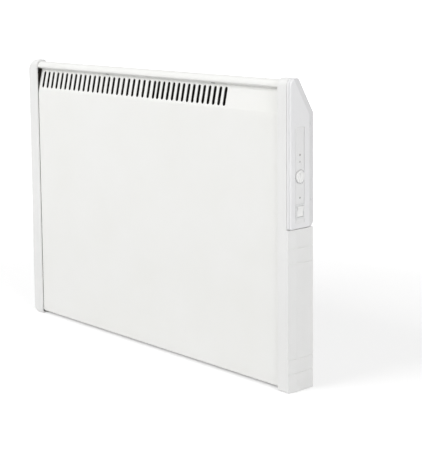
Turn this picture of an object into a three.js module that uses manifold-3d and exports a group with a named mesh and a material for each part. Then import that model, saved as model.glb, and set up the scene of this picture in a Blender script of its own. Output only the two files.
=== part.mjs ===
// Slim electric panel heater: a sheet steel front with a slotted air outlet, a folded steel
// rear casing, two moulded end caps, and a thermostat housing on the right-hand cap.
// Millimetres. X runs along the heater, Y from the front to the wall, Z up.

import * as THREE from 'three';
import { mergeVertices } from 'three/addons/utils/BufferGeometryUtils.js';
import Module from 'manifold-3d';

const wasm = await Module();
wasm.setup();

// ---------- Driving dimensions ----------

// Body
const bodyWidth = 516; // over both end caps
const bodyHeight = 370;
const bodyDepth = 40.5;
const topFlat = 15.5; // front face to the head of the rear slope
const slopeDrop = 41; // height of the rear slope
const noseRadius = 9; // top front edge of the end caps
const headRadius = 3; // ends of the rear slope
const edgeRadius = 2; // other edges of the end caps
const seat = 0.3; // clearance between pieces that touch
const sheet = 1; // steel sheet
const over = 1; // how far a cutter runs past what it cuts
const holeSides = 16; // facets of a small round hole

// End caps
const leftCapWidth = 21.5;
const rightCapWidth = 18.5;
const capWall = 2.2;
const capOverlap = 8; // how far the casing runs into each cap
const leftCornerRadius = 12; // outer corners of the left cap, seen from the front
const leftPlanRadius = 4; // outer vertical edges of the left cap
const chamferSide = 12.5; // right cap's front chamfer, measured along the side
const chamferFront = 2.1; // and along the front
const chamferRadius = 0.6; // its two long edges
const grooveWidth = 1;
const grooveDepth = 0.6;
const footGrooves = [23, 40.3]; // heights above the base
const podGrooves = [40.6, 22.5]; // depths below the control housing

// Front panel
const panelGap = 0.5; // between the panel's ends and the caps
const panelBottom = 4;
const panelFlange = 13; // bottom flange, front to back
const leanDrop = 45; // top of the body to where the outlet strip leans back
const leanAngle = 12.6; // degrees
const stripTuck = 2.1; // how far the strip runs up behind the rail
const panelBend = 1.6;
const leanBend = 4.8;
const slotWidth = 4.8;
const slotFlat = 0.02; // short straight at each round end of a slot
const slotHeight = 22.8;
const slotDrop = 27.8; // top of the body to the slots' middle
const slotPitch = 10.48; // in the left-hand group
const leftSlotCount = 24;
const slotGroupGap = 8.4; // from its last slot to the first of the right-hand group
const rightSlotPitch = 9.52;
const firstSlotInset = 30.8; // left end of the body to the first slot
const lastSlotInset = 111; // least room from the last slot to the right end of the body

// Rear casing
const railDrop = 8.6; // height of the rail's front lip
const railReturnDrop = 2.6; // how much lower the lip's return ends
const railBend = 1.2;
const casingBend = 2;
const flangeFront = 8; // front edge of the bottom flange
const inletCount = 24;
const inletLength = 11;
const inletWidth = 6;
const inletMargin = 26; // ends of the casing to the first inlet slot
const hangerInset = 110; // hanging slots, from the ends of the body
const hangerDrop = 78; // top of the body to the hanging slots
const hangerWidth = 26;
const hangerTall = 8;
const hangerRadius = 1.5;
const clipWidth = 6;
const clipThick = 0.6;
const clipLeg = 5; // front leg
const clipBackLeg = 8;
const clipBend = 0.5;
const clipInsets = [172.7, 380.2]; // left end of the body to each panel clip

// End plates that close the casing
const plateSetback = 1.2; // from the casing's ends
const plateWindowMargin = 5; // right plate's wiring window, inside the plate's edges
const plateRadius = 1;

// Control housing
const podTall = 175.7; // down from the top of the body
const podLip = 4.1; // housing's inner edge, inboard of the body's right end
const podProud = 2.6; // its face, outboard of the body's right end
const podWall = 2;
const podFaceWall = 3;
const podHeelRadius = 7; // lower rear corner
const podToeRadius = 0.8; // lower front corner
const podBevelWidth = 7.5; // bevel along the rear and the slope
const podBevelDepth = 0.9;
const podEdgeWidth = 2.2; // small bevel along the other edges
const podEdgeDepth = 1;
const podNotchRises = [33.5, 120.8]; // housing's bottom edge to its two release notches
const podNotchTall = 2.4;
const podNotchWide = 2;
const podNotchDepth = 1.2;
const controlLine = 15; // front face to the line of the controls
const fasciaWidth = 15.5;
const fasciaRise = 6.6; // housing's bottom edge to the label strip
const fasciaDrop = 56; // top of the body to the label strip
const fasciaRecess = 1.5;
const fasciaThick = 0.9;
const fasciaCorner = 2;
const windowMargin = 5; // cap's window behind the housing, inside the cap's walls
const windowRise = 11.6; // housing's bottom edge to the window
const windowDrop = 52; // top of the body to the window

// Thermostat knob
const knobRise = 40.5; // rocker's centre to the knob's
const knobRadius = 7;
const knobProud = 2.4; // past the housing's face
const knobEdge = 0.9; // bevel round its face
const knobSides = 40;
const knobGap = 0.4; // behind the knob and round its hub
const hubRadius = 4.4;
const gripWidth = 3.4;
const gripDip = 0.9;
const gripRim = 1.2; // rim left round the two dips
const pointerWidth = 1.1;
const pointerDepth = 0.4;
const pointerStart = 2.1; // knob's centre to the pointer's inner end
const spindleRadius = 3;
const spindleFlat = 1; // depth of the D flat
const spindleGrip = 3; // spindle inside the knob
const potRadius = 7.4;

// Indicator lamps
const lampRadius = 1.3;
const lampFlange = 2; // radius of the flange behind the wall
const lampFlangeThick = 1;
const lampRises = [-24.6, 17.4, 25.3]; // knob's centre to the lamps
const lampNames = ['power_lamp_lens', 'standby_lamp_lens', 'heat_lamp_lens'];
const lampProud = 0.4;

// Rocker switch
const rockerRise = 21.3; // housing's bottom edge to the rocker's centre
const keyWidth = 9.6;
const keyTall = 12;
const keyTilt = 8; // degrees each way
const keyDish = 1; // how deep the two faces meet
const keyDepth = 4.9; // pivot to the key's tips
const keyRise = 0.4; // tips above the switch body, with the key level
const keyTip = 0.5; // bevel on each tip
const keyTaper = 0.6; // how much the key narrows behind its tips
const keyShoulder = 1.5; // pivot to where its sides turn in
const keyHeel = 2.2; // pivot to the back of the key
const keyHeelHalf = 1.8;
const rockerWall = 1;
const rockerFlange = 0.9; // flange round the switch body
const rockerFlangeThick = 1;
const rockerFlangeRadius = 1.2;
const rockerFloor = 2;
const rockerBodyDepth = 14;
const rockerGap = 0.9; // room above and below the key
const keyGap = 0.3; // room at the key's sides
const pinRadius = 0.8;
const pinSetback = 0.2; // pin's ends inside the switch body's sides

// Control board
const boardThick = 1.6;
const boardBack = 6.6; // housing wall to the board
const boardRise = 20.5; // cap window's bottom edge to the board
const boardDrop = 6; // cap window's top edge to the board
const boardMargin = 3; // board's sides, inside the cap's window
const boardScrewInset = 7.5; // ends of the board to its screws
const boardRadius = 1.5;
const relayDeep = 15;
const relayWide = 15;
const relayTall = 26;
const relayDrop = 20; // board's top edge to the relay
const bossRadius = 2.6; // round a board screw
const podBossRadius = 3.2; // round a housing screw
const bossRoot = 0.5; // how far a boss runs into the wall it stands on
const bossStop = 0.8; // left between a boss's bore and the wall

// Heating element and what carries it
const elementStart = 46; // left end of the body to the element
const elementEnd = 118; // right end of the body to the element
const elementHeight = 74; // centre of the rod above the base
const rodRadius = 4;
const rodReach = 22; // rod past each end of the element
const sleeveRadius = 6.5; // element's middle, round the rod
const finGap = 1.3; // fins to the heat shield
const finReachZ = 30;
const finThick = 1.8;
const finRibCount = 4; // ribs along each fin
const finRibLength = 3;
const finRibThick = 1;
const finRibPitch = 6.5; // up each fin
const bracketGap = 9; // element's end to the bracket
const bracketThick = 1.2;
const bracketHalf = 14; // bracket's half height
const bracketFoot = 14;
const bracketFront = 4; // panel to the bracket's front edge
const bushRadius = 7.5; // over its shoulder
const bushNeck = 6; // through the bracket
const bushShoulder = 1.4;
const bushTail = 2.8; // past the bracket on the far side
const shieldGap = 2.4; // shield to the casing's back
const shieldBottom = 26;
const shieldDrop = 20; // hanging slots to the shield's head
const shieldThick = 0.6;
const shieldOver = 3; // shield's ends, past the element's
const shieldFoot = 8;
const shieldBend = 0.8;
const cutoutRadius = 7;
const cutoutThick = 5;
const cutoutHeight = 132;
const cutoutInset = 200;
const cutoutButton = 4.9; // radius of the button on its face
const cutoutButtonRise = 1.5;
const cutoutEar = 5; // mounting ears, past the disc
const cutoutEarThick = 0.8;
const cutoutEarTall = 6;

// Mains connection
const terminalInset = 62; // right end of the body to the terminal block's middle
const terminalWidth = 34;
const terminalDepth = 16;
const terminalTall = 20;
const terminalHeight = 46; // middle of the block above the base
const terminalWayCount = 3;
const terminalWireRadius = 3;
const terminalScrewRadius = 2.5;
const inletInset = 34; // right end of the body to the cord inlet
const inletHeight = 46;
const inletBore = 4.2;
const inletOuter = 7;
const inletWaist = 5.7; // where it passes through the sheet
const inletTail = 2; // its flange inside the casing
const inletTaper = 1;

// Screws
const screwRadius = 1.6;
const screwHead = 3.1;
const screwLength = 9;
const panHeadTall = 1.9;
const panHeadTop = 2.2; // radius of the flat on a raised head
const panHeadShoulder = 1.1; // height of its straight side
const screwSides = 12;
const capScrewRise = 40; // base to the lower cap screws
const capScrewDrop = 70; // top of the body to the upper ones
const panelScrewInset = 70; // ends of the body to the outer panel screws
const panelScrewReach = 3; // past the two flanges
const lowerPodScrewDrop = 5; // cap window's bottom edge to the lower housing screw
const upperPodScrewRise = 16; // cap window's top edge to the upper one

// ---------- Worked out from them ----------

const left = -bodyWidth / 2;
const right = bodyWidth / 2;
const leftSeam = left + leftCapWidth;
const rightSeam = right - rightCapWidth;
const casingInset = capWall + seat; // casing's outer skin inside the caps' skin
const casingLeft = leftSeam - capOverlap;
const casingRight = rightSeam + capOverlap;
const casingBack = bodyDepth - casingInset; // outer face of its back wall
const casingInside = casingBack - sheet;
const podBottom = bodyHeight - podTall;
const windowBottom = podBottom + windowRise;
const windowTop = bodyHeight - windowDrop;
const fasciaFront = controlLine - fasciaWidth / 2;
const fasciaBottom = podBottom + fasciaRise;
const fasciaTop = bodyHeight - fasciaDrop;
const rockerHeight = podBottom + rockerRise;
const knobHeight = rockerHeight + knobRise;
const lampHeights = lampRises.map((rise) => knobHeight + rise);
const boardBottom = windowBottom + boardRise;
const boardTop = windowTop - boardDrop;
const boardScrewHeights = [boardBottom + boardScrewInset, boardTop - boardScrewInset];
const podScrewHeights = [windowBottom - lowerPodScrewDrop, windowTop + upperPodScrewRise];
const capScrewHeights = [capScrewRise, bodyHeight - capScrewDrop];
const panelScrewPlaces = [left + panelScrewInset, 0, right - panelScrewInset];
const hangerHeight = bodyHeight - hangerDrop;
const podInner = right - podLip;
const podFace = right + podProud;
const podInnerWall = podFace - podFaceWall;
const knobFace = podFace + knobProud;
const capPocket = podInner - seat; // right cap's outer wall behind the housing
const slopeAngle = Math.atan2(bodyDepth - topFlat, slopeDrop);
const far = 1000;

// ---------- Finishes ----------

const finish = (color, roughness, metalness = 0) =>
  new THREE.MeshStandardMaterial({ color, roughness, metalness });
const whitePaint = () => finish(0xedeee9, 0.45);
const whitePlastic = () => finish(0xe9eae8, 0.4);
const palePlastic = () => finish(0xdfe0df, 0.5);
const darkPlate = () => finish(0x3b342e, 0.7, 0.3);
const galvanised = () => finish(0xa9adb0, 0.45, 0.8);
const aluminium = () => finish(0xc4c6c8, 0.4, 0.9);
const brightSteel = () => finish(0xb8babd, 0.3, 0.9);
const blackPlastic = () => finish(0x1d1d1f, 0.5);

// ---------- Making and joining solids ----------

const point = (x, y) => new THREE.Vector2(x, y);

// A closed geometry as a solid that can be cut and joined.
function solid(geometry) {
  const bare = geometry.clone();
  bare.deleteAttribute('normal');
  bare.deleteAttribute('uv');
  const merged = mergeVertices(bare, 1e-3);
  return new wasm.Manifold(new wasm.Mesh({
    numProp: 3,
    vertProperties: new Float32Array(merged.attributes.position.array),
    triVerts: new Uint32Array(merged.index.array),
  }));
}

const cut = (body, ...tools) => tools.reduce((rest, tool) => rest.subtract(tool), body);
const join = (body, ...others) => others.reduce((sum, other) => sum.add(other), body);
const common = (body, ...others) => others.reduce((rest, other) => rest.intersect(other), body);

function geometryOf(body) {
  const { vertProperties, triVerts } = body.getMesh();
  const geometry = new THREE.BufferGeometry();
  geometry.setAttribute('position', new THREE.BufferAttribute(vertProperties, 3));
  geometry.setIndex(new THREE.BufferAttribute(triVerts, 1));
  geometry.computeVertexNormals();
  return geometry;
}

const model = new THREE.Group();

function add(name, body, material) {
  const mesh = new THREE.Mesh(geometryOf(body), material);
  mesh.name = name;
  model.add(mesh);
}

// Straight prisms. Each shape is drawn in the plane across the axis it is extruded along.
const axisTurns = {
  x: new THREE.Matrix4().set(0, 0, 1, 0, 1, 0, 0, 0, 0, 1, 0, 0, 0, 0, 0, 1),
  y: new THREE.Matrix4().set(1, 0, 0, 0, 0, 0, -1, 0, 0, 1, 0, 0, 0, 0, 0, 1),
  z: new THREE.Matrix4(),
};

function prism(shape, axis, from, to, curveSegments = 3) {
  const geometry = new THREE.ExtrudeGeometry(shape, {
    depth: to - from, bevelEnabled: false, curveSegments,
  });
  geometry.translate(0, 0, axis === 'y' ? -to : from);
  return solid(geometry.applyMatrix4(axisTurns[axis]));
}

function block(x0, x1, y0, y1, z0, z1) {
  const geometry = new THREE.BoxGeometry(x1 - x0, y1 - y0, z1 - z0);
  return solid(geometry.translate((x0 + x1) / 2, (y0 + y1) / 2, (z0 + z1) / 2));
}

// A turned piece: its profile is [distance along the axis, radius] pairs, from end to end.
function turned(profile, axis, centre, sides = 24) {
  const outline = profile.map(([along, radius]) => point(radius, along));
  const geometry = new THREE.LatheGeometry(outline, sides);
  const turns = { x: [0, 0, -Math.PI / 2], y: [0, 0, 0], z: [Math.PI / 2, 0, 0] };
  geometry.applyMatrix4(new THREE.Matrix4().makeRotationFromEuler(
    new THREE.Euler(...turns[axis])));
  return solid(geometry.translate(...centre));
}

const pin = (axis, radius, from, to, centre, sides = 24) =>
  turned([[from, 0], [from, radius], [to, radius], [to, 0]], axis, centre, sides);

// A polygon drawn anticlockwise, moved inwards by a distance.
function insetCorners(corners, inset) {
  return corners.map((corner, i) => {
    const before = corners[(i + corners.length - 1) % corners.length];
    const after = corners[(i + 1) % corners.length];
    const into = corner.clone().sub(before).normalize();
    const out = after.clone().sub(corner).normalize();
    const turn = into.cross(out);
    return corner.clone().add(out.sub(into).multiplyScalar(inset / turn));
  });
}

// A polygon drawn anticlockwise, with each corner rounded.
function roundedShape(corners, radii) {
  const shape = new THREE.Shape();
  corners.forEach((corner, i) => {
    const before = corners[(i + corners.length - 1) % corners.length];
    const after = corners[(i + 1) % corners.length];
    const into = corner.clone().sub(before).normalize();
    const out = after.clone().sub(corner).normalize();
    const radius = radii[i];
    const turn = Math.atan2(into.cross(out), into.dot(out));
    const reach = radius * Math.tan(turn / 2);
    if (radius <= 0) {
      if (i === 0) shape.moveTo(corner.x, corner.y);
      else shape.lineTo(corner.x, corner.y);
      return;
    }
    const start = corner.clone().addScaledVector(into, -reach);
    const centre = start.clone().add(point(-into.y, into.x).multiplyScalar(radius));
    const angle = Math.atan2(start.y - centre.y, start.x - centre.x);
    if (i === 0) shape.moveTo(start.x, start.y);
    else shape.lineTo(start.x, start.y);
    shape.absarc(centre.x, centre.y, radius, angle, angle + turn, false);
  });
  shape.closePath();
  return shape;
}

const rectangle = (x0, x1, y0, y1, radius = 0) => roundedShape(
  [point(x0, y0), point(x1, y0), point(x1, y1), point(x0, y1)], Array(4).fill(radius));

// Cross-section of a folded sheet: a centre line with round bends, thickened both ways.
function foldedShape(corners, bends, thickness) {
  const bendSteps = 4;
  const line = corners.flatMap((corner, i) => {
    if (i === 0 || i === corners.length - 1) return [corner];
    const back = corners[i - 1].clone().sub(corner).normalize();
    const on = corners[i + 1].clone().sub(corner).normalize();
    const half = Math.acos(THREE.MathUtils.clamp(back.dot(on), -1, 1)) / 2;
    const bisector = back.clone().add(on).normalize();
    const centre = corner.clone().addScaledVector(bisector, bends[i] / Math.sin(half));
    const start = corner.clone().addScaledVector(back, bends[i] / Math.tan(half)).sub(centre);
    const sweep = (Math.PI - 2 * half) * Math.sign(on.cross(back));
    return Array.from({ length: bendSteps + 1 }, (_, k) =>
      start.clone().rotateAround(point(0, 0), sweep * k / bendSteps).add(centre));
  });
  const side = (distance) => line.map((here, i) => {
    const into = here.clone().sub(line[Math.max(i - 1, 0)]).normalize();
    const out = line[Math.min(i + 1, line.length - 1)].clone().sub(here).normalize();
    const first = into.lengthSq() > 0 ? into : out;
    const second = out.lengthSq() > 0 ? out : into;
    const normal = point(-first.y - second.y, first.x + second.x).normalize();
    const stretch = Math.abs(normal.dot(point(-first.y, first.x)));
    return here.clone().addScaledVector(normal, distance / stretch);
  });
  return new THREE.Shape([...side(thickness / 2), ...side(-thickness / 2).reverse()]);
}

// ---------- Body outline ----------

// End view of the heater, Y across and Z up: upright front, short flat top, sloping head.
const bodyCorners = [
  point(0, 0),
  point(bodyDepth, 0),
  point(bodyDepth, bodyHeight - slopeDrop),
  point(topFlat, bodyHeight),
  point(0, bodyHeight),
];

function bodyOutline(inset) {
  const radii = [edgeRadius, edgeRadius, headRadius, headRadius, noseRadius];
  return roundedShape(
    insetCorners(bodyCorners, inset), radii.map((radius) => Math.max(radius - inset, 0)));
}

// ---------- Screws ----------

// A flush screw: flat head, cone and shank. Grown by a clearance it is also its own hole.
function flushScrew(axis, direction, centre, grow = 0, length = screwLength) {
  const cone = screwHead - screwRadius;
  const profile = [
    [0, 0],
    [0, screwHead + grow],
    [cone, screwRadius + grow],
    [length + grow, screwRadius + grow],
    [length + grow, 0],
  ].map(([along, radius]) => [along * direction, radius]);
  return turned(direction > 0 ? profile : profile.reverse(), axis, centre, screwSides);
}

// A raised pan head screw.
function panScrew(axis, direction, centre, length) {
  const profile = [
    [-panHeadTall, 0],
    [-panHeadTall, panHeadTop],
    [-panHeadShoulder, screwHead],
    [0, screwHead],
    [0, screwRadius],
    [length, screwRadius],
    [length, 0],
  ].map(([along, radius]) => [along * direction, radius]);
  return turned(direction > 0 ? profile : profile.reverse(), axis, centre, screwSides);
}

const capScrewPlaces = capScrewHeights.flatMap((z, k) => {
  const level = k === 0 ? 'lower' : 'upper';
  return [
    { name: `left_cap_screw_${level}`, x: leftSeam - capOverlap / 2, z },
    { name: `right_cap_screw_${level}`, x: rightSeam + capOverlap / 2, z },
  ];
});

const capScrewHoles = () => capScrewPlaces.map(({ x, z }) =>
  flushScrew('y', -1, [x, bodyDepth, z], seat, screwLength + seat));

// ---------- End caps ----------

function leftCapBlock(inset) {
  const front = rectangle(
    left + inset, leftSeam + far, inset, bodyHeight - inset, leftCornerRadius - inset);
  const plan = rectangle(
    left + inset, leftSeam + far, inset, bodyDepth - inset, leftPlanRadius - inset);
  return common(
    prism(bodyOutline(inset), 'x', left + inset, leftSeam + (inset > 0 ? over : 0)),
    prism(front, 'y', -over, bodyDepth + over),
    prism(plan, 'z', -over, bodyHeight + over));
}

function leftEndCap() {
  return cut(leftCapBlock(0), leftCapBlock(capWall), ...capScrewHoles());
}

// Plan of the right cap below the housing: its front outer corner is cut by a long chamfer.
function rightPlan(inset) {
  const corners = insetCorners([
    point(left, 0),
    point(right - chamferFront, 0),
    point(right, chamferSide),
    point(right, bodyDepth),
    point(left, bodyDepth),
  ], inset);
  return roundedShape(
    corners, [0, chamferRadius, chamferRadius, Math.max(edgeRadius - inset, 0), 0]);
}

function rightCapBlock(inset) {
  return common(
    prism(bodyOutline(inset), 'x', rightSeam - (inset > 0 ? over : 0), right),
    prism(rightPlan(inset), 'z', -over, bodyHeight + over),
    block(-far, right - inset, -far, far, -far, far));
}

function rightEndCap() {
  const pocket = block(capPocket, far, -over, far, podBottom - seat, far);
  const pocketWalls = block(
    capPocket - capWall, far, -over, far, podBottom - seat - capWall, far);
  const window = block(
    capPocket - capWall - over, far, capWall + windowMargin,
    bodyDepth - capWall - windowMargin, windowBottom, windowTop);
  const heights = [...footGrooves, ...podGrooves.map((depth) => podBottom - depth)];
  const grooves = heights.map((z) => cut(
    block(right - chamferFront, right + over, -over, bodyDepth + over, z - grooveWidth / 2,
      z + grooveWidth / 2),
    prism(rightPlan(grooveDepth), 'z', 0, bodyHeight)));
  const podScrewHoles = podScrewHeights.map((z) =>
    pin('x', screwRadius + seat, -capWall - over, over, [capPocket, podScrewLine(z), z],
      holeSides));
  return cut(
    rightCapBlock(0), cut(rightCapBlock(capWall), pocketWalls), pocket, window, ...grooves,
    ...podScrewHoles, ...capScrewHoles());
}

// The two housing screws sit in the cap's wall, one under and one over its window.
function podScrewLine(z) {
  return z > windowTop ? topFlat : controlLine;
}

add('left_end_cap', leftEndCap(), whitePlastic());
add('right_end_cap', rightEndCap(), whitePlastic());

// ---------- Front panel ----------

const panelLine = casingInset + sheet / 2; // middle of the sheet, from the front face
const leanStart = bodyHeight - leanDrop;
const leanSlope = Math.tan(THREE.MathUtils.degToRad(leanAngle));
const stripTop = bodyHeight - casingInset - railDrop + stripTuck;
const slotMiddle = bodyHeight - slotDrop;

// The outlet is punched in two groups of slots, the right-hand one a little closer together.
function slotPlaces() {
  const places = [left + firstSlotInset];
  const nextPlace = () => {
    const last = places[places.length - 1];
    if (places.length < leftSlotCount) return last + slotPitch;
    return last + (places.length === leftSlotCount ? slotGroupGap : rightSlotPitch);
  };
  while (nextPlace() <= right - lastSlotInset) places.push(nextPlace());
  return places;
}

function frontPanel() {
  const section = foldedShape([
    point(casingInset + panelFlange, panelBottom + sheet / 2),
    point(panelLine, panelBottom + sheet / 2),
    point(panelLine, leanStart),
    point(panelLine + leanSlope * (stripTop - leanStart), stripTop),
  ], [0, panelBend, leanBend, 0], sheet);
  const slots = slotPlaces().map((x) => prism(
    rectangle(x - slotWidth / 2, x + slotWidth / 2, slotMiddle - slotHeight / 2,
      slotMiddle + slotHeight / 2, (slotWidth - slotFlat) / 2), 'y', 0, bodyDepth / 2, 1));
  const screwHoles = panelScrewPlaces.map((x) =>
    pin('z', screwRadius + seat, -over, sheet + over, [x, panelScrewLine, panelBottom],
      holeSides));
  return cut(
    prism(section, 'x', leftSeam + panelGap, rightSeam - panelGap), ...slots, ...screwHoles);
}

// The panel's bottom flange and the casing's lie one on the other, and share their screws.
const panelScrewLine = (flangeFront + casingInset + panelFlange) / 2;

add('front_panel', frontPanel(), whitePaint());

// ---------- Rear casing ----------

const casingFlange = panelBottom + sheet + seat; // underside of its bottom flange
const railFront = casingInset + sheet / 2;
const railTop = bodyHeight - casingInset;
const railBottom = railTop - railDrop;
const stripFaceAt = (z) => casingInset + leanSlope * (z - leanStart);
const railReturnEnd = stripFaceAt(railBottom - railReturnDrop) - seat * 2;

function rearCasing() {
  const centre = insetCorners(bodyCorners, casingInset + sheet / 2);
  const section = foldedShape([
    point(railReturnEnd, railBottom - railReturnDrop),
    point(railFront, railBottom),
    point(railFront, centre[4].y),
    centre[3],
    centre[2],
    point(centre[1].x, casingFlange + sheet / 2),
    point(flangeFront, casingFlange + sheet / 2),
  ], [0, railBend, noseRadius - casingInset - sheet / 2, casingBend, casingBend, casingBend, 0],
  sheet);
  const clipNotches = clipInsets.map((inset) => block(
    left + inset - clipWidth / 2 - seat, left + inset + clipWidth / 2 + seat,
    railReturnEnd - clipThick - seat * 2, railReturnEnd + sheet,
    railBottom - railReturnDrop - sheet * 2, railBottom + sheet));
  const inletPitch = (casingRight - casingLeft - 2 * inletMargin) / (inletCount - 1);
  const inletMiddle = (panelFlange + casingInset + casingBack) / 2;
  const inlets = Array.from({ length: inletCount }, (_, i) => {
    const x = casingLeft + inletMargin + inletPitch * i;
    return prism(
      rectangle(x - inletWidth / 2, x + inletWidth / 2, inletMiddle - inletLength / 2,
        inletMiddle + inletLength / 2, (inletWidth - slotFlat) / 2), 'z', 0,
      casingFlange + sheet + over, 1);
  });
  const hangers = [left + hangerInset, right - hangerInset].map((x) => prism(
    rectangle(x - hangerWidth / 2, x + hangerWidth / 2, hangerHeight - hangerTall / 2,
      hangerHeight + hangerTall / 2, hangerRadius), 'y', casingInside - over, bodyDepth, 1));
  const screwHoles = panelScrewPlaces.map((x) =>
    pin('z', screwRadius + seat, -over, sheet + over, [x, panelScrewLine, casingFlange],
      holeSides));
  const cordHole = pin(
    'y', inletWaist + seat, -sheet - over, over, [right - inletInset, casingBack, inletHeight]);
  return cut(
    prism(section, 'x', casingLeft, casingRight), ...clipNotches, ...inlets, ...hangers,
    ...screwHoles, cordHole, ...capScrewHoles());
}

add('rear_casing', rearCasing(), whitePaint());

// Spring clips hook over the strip's top edge, one leg through the notch in the rail.
function panelClip(x) {
  const reach = clipThick / 2 + seat;
  const top = stripTop + seat + clipThick / 2;
  const front = stripFaceAt(top) - reach;
  const back = stripFaceAt(top) + sheet / Math.cos(Math.atan(leanSlope)) + reach;
  const section = foldedShape([
    point(front - leanSlope * clipLeg, top - clipLeg),
    point(front, top),
    point(back, top),
    point(back - leanSlope * clipBackLeg, top - clipBackLeg),
  ], [0, clipBend, clipBend, 0], clipThick);
  return prism(section, 'x', x - clipWidth / 2, x + clipWidth / 2);
}

clipInsets.forEach((inset, i) =>
  add(['left_panel_clip', 'right_panel_clip'][i], panelClip(left + inset), brightSteel()));

// ---------- End plates ----------

// Plates with a folded rim close the casing's ends inside the caps.
function endPlate(x, window) {
  const corners = insetCorners(bodyCorners, casingInset + sheet + seat);
  const bottom = casingFlange + sheet + seat;
  const railBack = railReturnEnd + sheet / 2 + seat * 2;
  const shoulder = railBottom - railReturnDrop - sheet - seat;
  const outline = roundedShape([
    point(casingInset, bottom),
    point(corners[1].x, bottom),
    corners[2],
    corners[3],
    point(railBack, corners[4].y),
    point(railBack, shoulder),
    point(casingInset, shoulder - railBack),
  ], [...Array(5).fill(plateRadius), 0, plateRadius]);
  const plate = prism(outline, 'x', x - sheet / 2, x + sheet / 2);
  return window ? cut(plate, window) : plate;
}

function rightPlateWindow(x) {
  return block(
    x - sheet, x + sheet, casingInset + sheet + plateWindowMargin,
    casingInside - plateWindowMargin, windowBottom, windowTop);
}

const leftPlateX = casingLeft + plateSetback + sheet / 2;
const rightPlateX = casingRight - plateSetback - sheet / 2;
const capScrewRoom = capScrewPlaces.map(({ x, z }) =>
  pin('y', screwRadius + seat, -screwLength - seat, 0, [x, bodyDepth, z], holeSides));
add('left_end_plate', cut(endPlate(leftPlateX, null), ...capScrewRoom), darkPlate());
add('right_end_plate', cut(endPlate(rightPlateX, rightPlateWindow(rightPlateX)), ...capScrewRoom),
  darkPlate());

// ---------- Control housing ----------

const podCorners = [
  point(0, podBottom),
  point(bodyDepth, podBottom),
  point(bodyDepth, bodyHeight - slopeDrop),
  point(topFlat, bodyHeight),
  point(0, bodyHeight),
];

function podOutline(inset) {
  const radii = [podToeRadius, podHeelRadius, headRadius, headRadius, noseRadius];
  return roundedShape(
    insetCorners(podCorners, inset), radii.map((radius) => Math.max(radius - inset, 0)));
}

// A prism that bevels the housing's face along one edge. The edge lies at a distance from
// the origin, in the direction that +Y takes when it is turned about X.
function bevelPrism(angle, distance, width, depth) {
  const section = new THREE.Shape([
    point(podInner - far, -far),
    point(podFace, -far),
    point(podFace, distance - width),
    point(podFace - depth, distance),
    point(podInner - far, distance),
  ]);
  const geometry = new THREE.ExtrudeGeometry(section, { depth: 2 * far, bevelEnabled: false });
  return solid(geometry.translate(0, 0, -far).rotateX(angle));
}

const rockerTall = keyTall + 2 * rockerGap + 2 * rockerWall; // outside of the switch body
const rockerWide = keyWidth + 2 * keyGap + 2 * rockerWall;

function controlHoles(grow) {
  const back = -podFaceWall - over;
  return [
    pin('x', hubRadius + knobGap, back, over, [podFace, controlLine, knobHeight]),
    ...lampHeights.map((z) =>
      pin('x', lampRadius + grow, back, over, [podFace, controlLine, z], holeSides)),
    block(podFace + back, podFace + over, controlLine - rockerWide / 2 - grow,
      controlLine + rockerWide / 2 + grow, rockerHeight - rockerTall / 2 - grow,
      rockerHeight + rockerTall / 2 + grow),
  ];
}

function controlHousing() {
  const slopeDistance = topFlat * Math.cos(slopeAngle) + bodyHeight * Math.sin(slopeAngle);
  const outside = common(
    prism(podOutline(0), 'x', podInner, podFace),
    bevelPrism(0, bodyDepth, podBevelWidth, podBevelDepth),
    bevelPrism(slopeAngle, slopeDistance, podBevelWidth, podBevelDepth),
    bevelPrism(Math.PI / 2, bodyHeight, podEdgeWidth, podEdgeDepth),
    bevelPrism(Math.PI, 0, podEdgeWidth, podEdgeDepth),
    bevelPrism(-Math.PI / 2, -podBottom, podEdgeWidth, podEdgeDepth));
  const hollow = prism(podOutline(podWall), 'x', podInner - over, podInnerWall);
  const recess = prism(
    rectangle(fasciaFront, fasciaFront + fasciaWidth, fasciaBottom, fasciaTop, fasciaCorner),
    'x', podFace - fasciaRecess, podFace + over);
  const notchLine = bodyDepth - podBevelWidth;
  const notches = podNotchRises.map((rise) => block(
    podFace - podNotchDepth, podFace + over, notchLine - podNotchWide / 2,
    notchLine + podNotchWide / 2, podBottom + rise - podNotchTall / 2,
    podBottom + rise + podNotchTall / 2));
  const shell = cut(outside, hollow, recess, ...notches, ...controlHoles(seat));
  const boardBosses = boardScrewHeights.map((z) => cut(
    pin('x', bossRadius, podInnerWall - boardBack + seat, podInnerWall + bossRoot,
      [0, boardScrewLine, z], holeSides),
    pin('x', screwRadius + seat, podInnerWall - boardBack - over, podInnerWall - bossStop,
      [0, boardScrewLine, z], holeSides)));
  const podBosses = podScrewHeights.map((z) => cut(
    pin('x', podBossRadius, podInner, podInnerWall + bossRoot, [0, podScrewLine(z), z],
      holeSides),
    pin('x', screwRadius + seat, podInner - over, podInnerWall - bossStop / 2,
      [0, podScrewLine(z), z], holeSides)));
  return join(shell, ...boardBosses, ...podBosses);
}

const boardScrewLine = bodyDepth - capWall - windowMargin - boardMargin - bossRadius;

add('control_housing', controlHousing(), whitePlastic());

function controlFascia() {
  const face = podFace - fasciaRecess + seat;
  const plate = prism(
    rectangle(fasciaFront + seat, fasciaFront + fasciaWidth - seat, fasciaBottom + seat,
      fasciaTop - seat, fasciaCorner - seat), 'x', face, face + fasciaThick);
  return cut(plate, ...controlHoles(seat));
}

add('control_fascia', controlFascia(), palePlastic());

podScrewHeights.forEach((z, i) => add(
  ['lower_housing_screw', 'upper_housing_screw'][i],
  panScrew('x', 1, [capPocket - capWall - seat, podScrewLine(z), z],
    podInnerWall - bossStop - (capPocket - capWall - seat)),
  brightSteel()));

// ---------- Thermostat knob ----------

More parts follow.
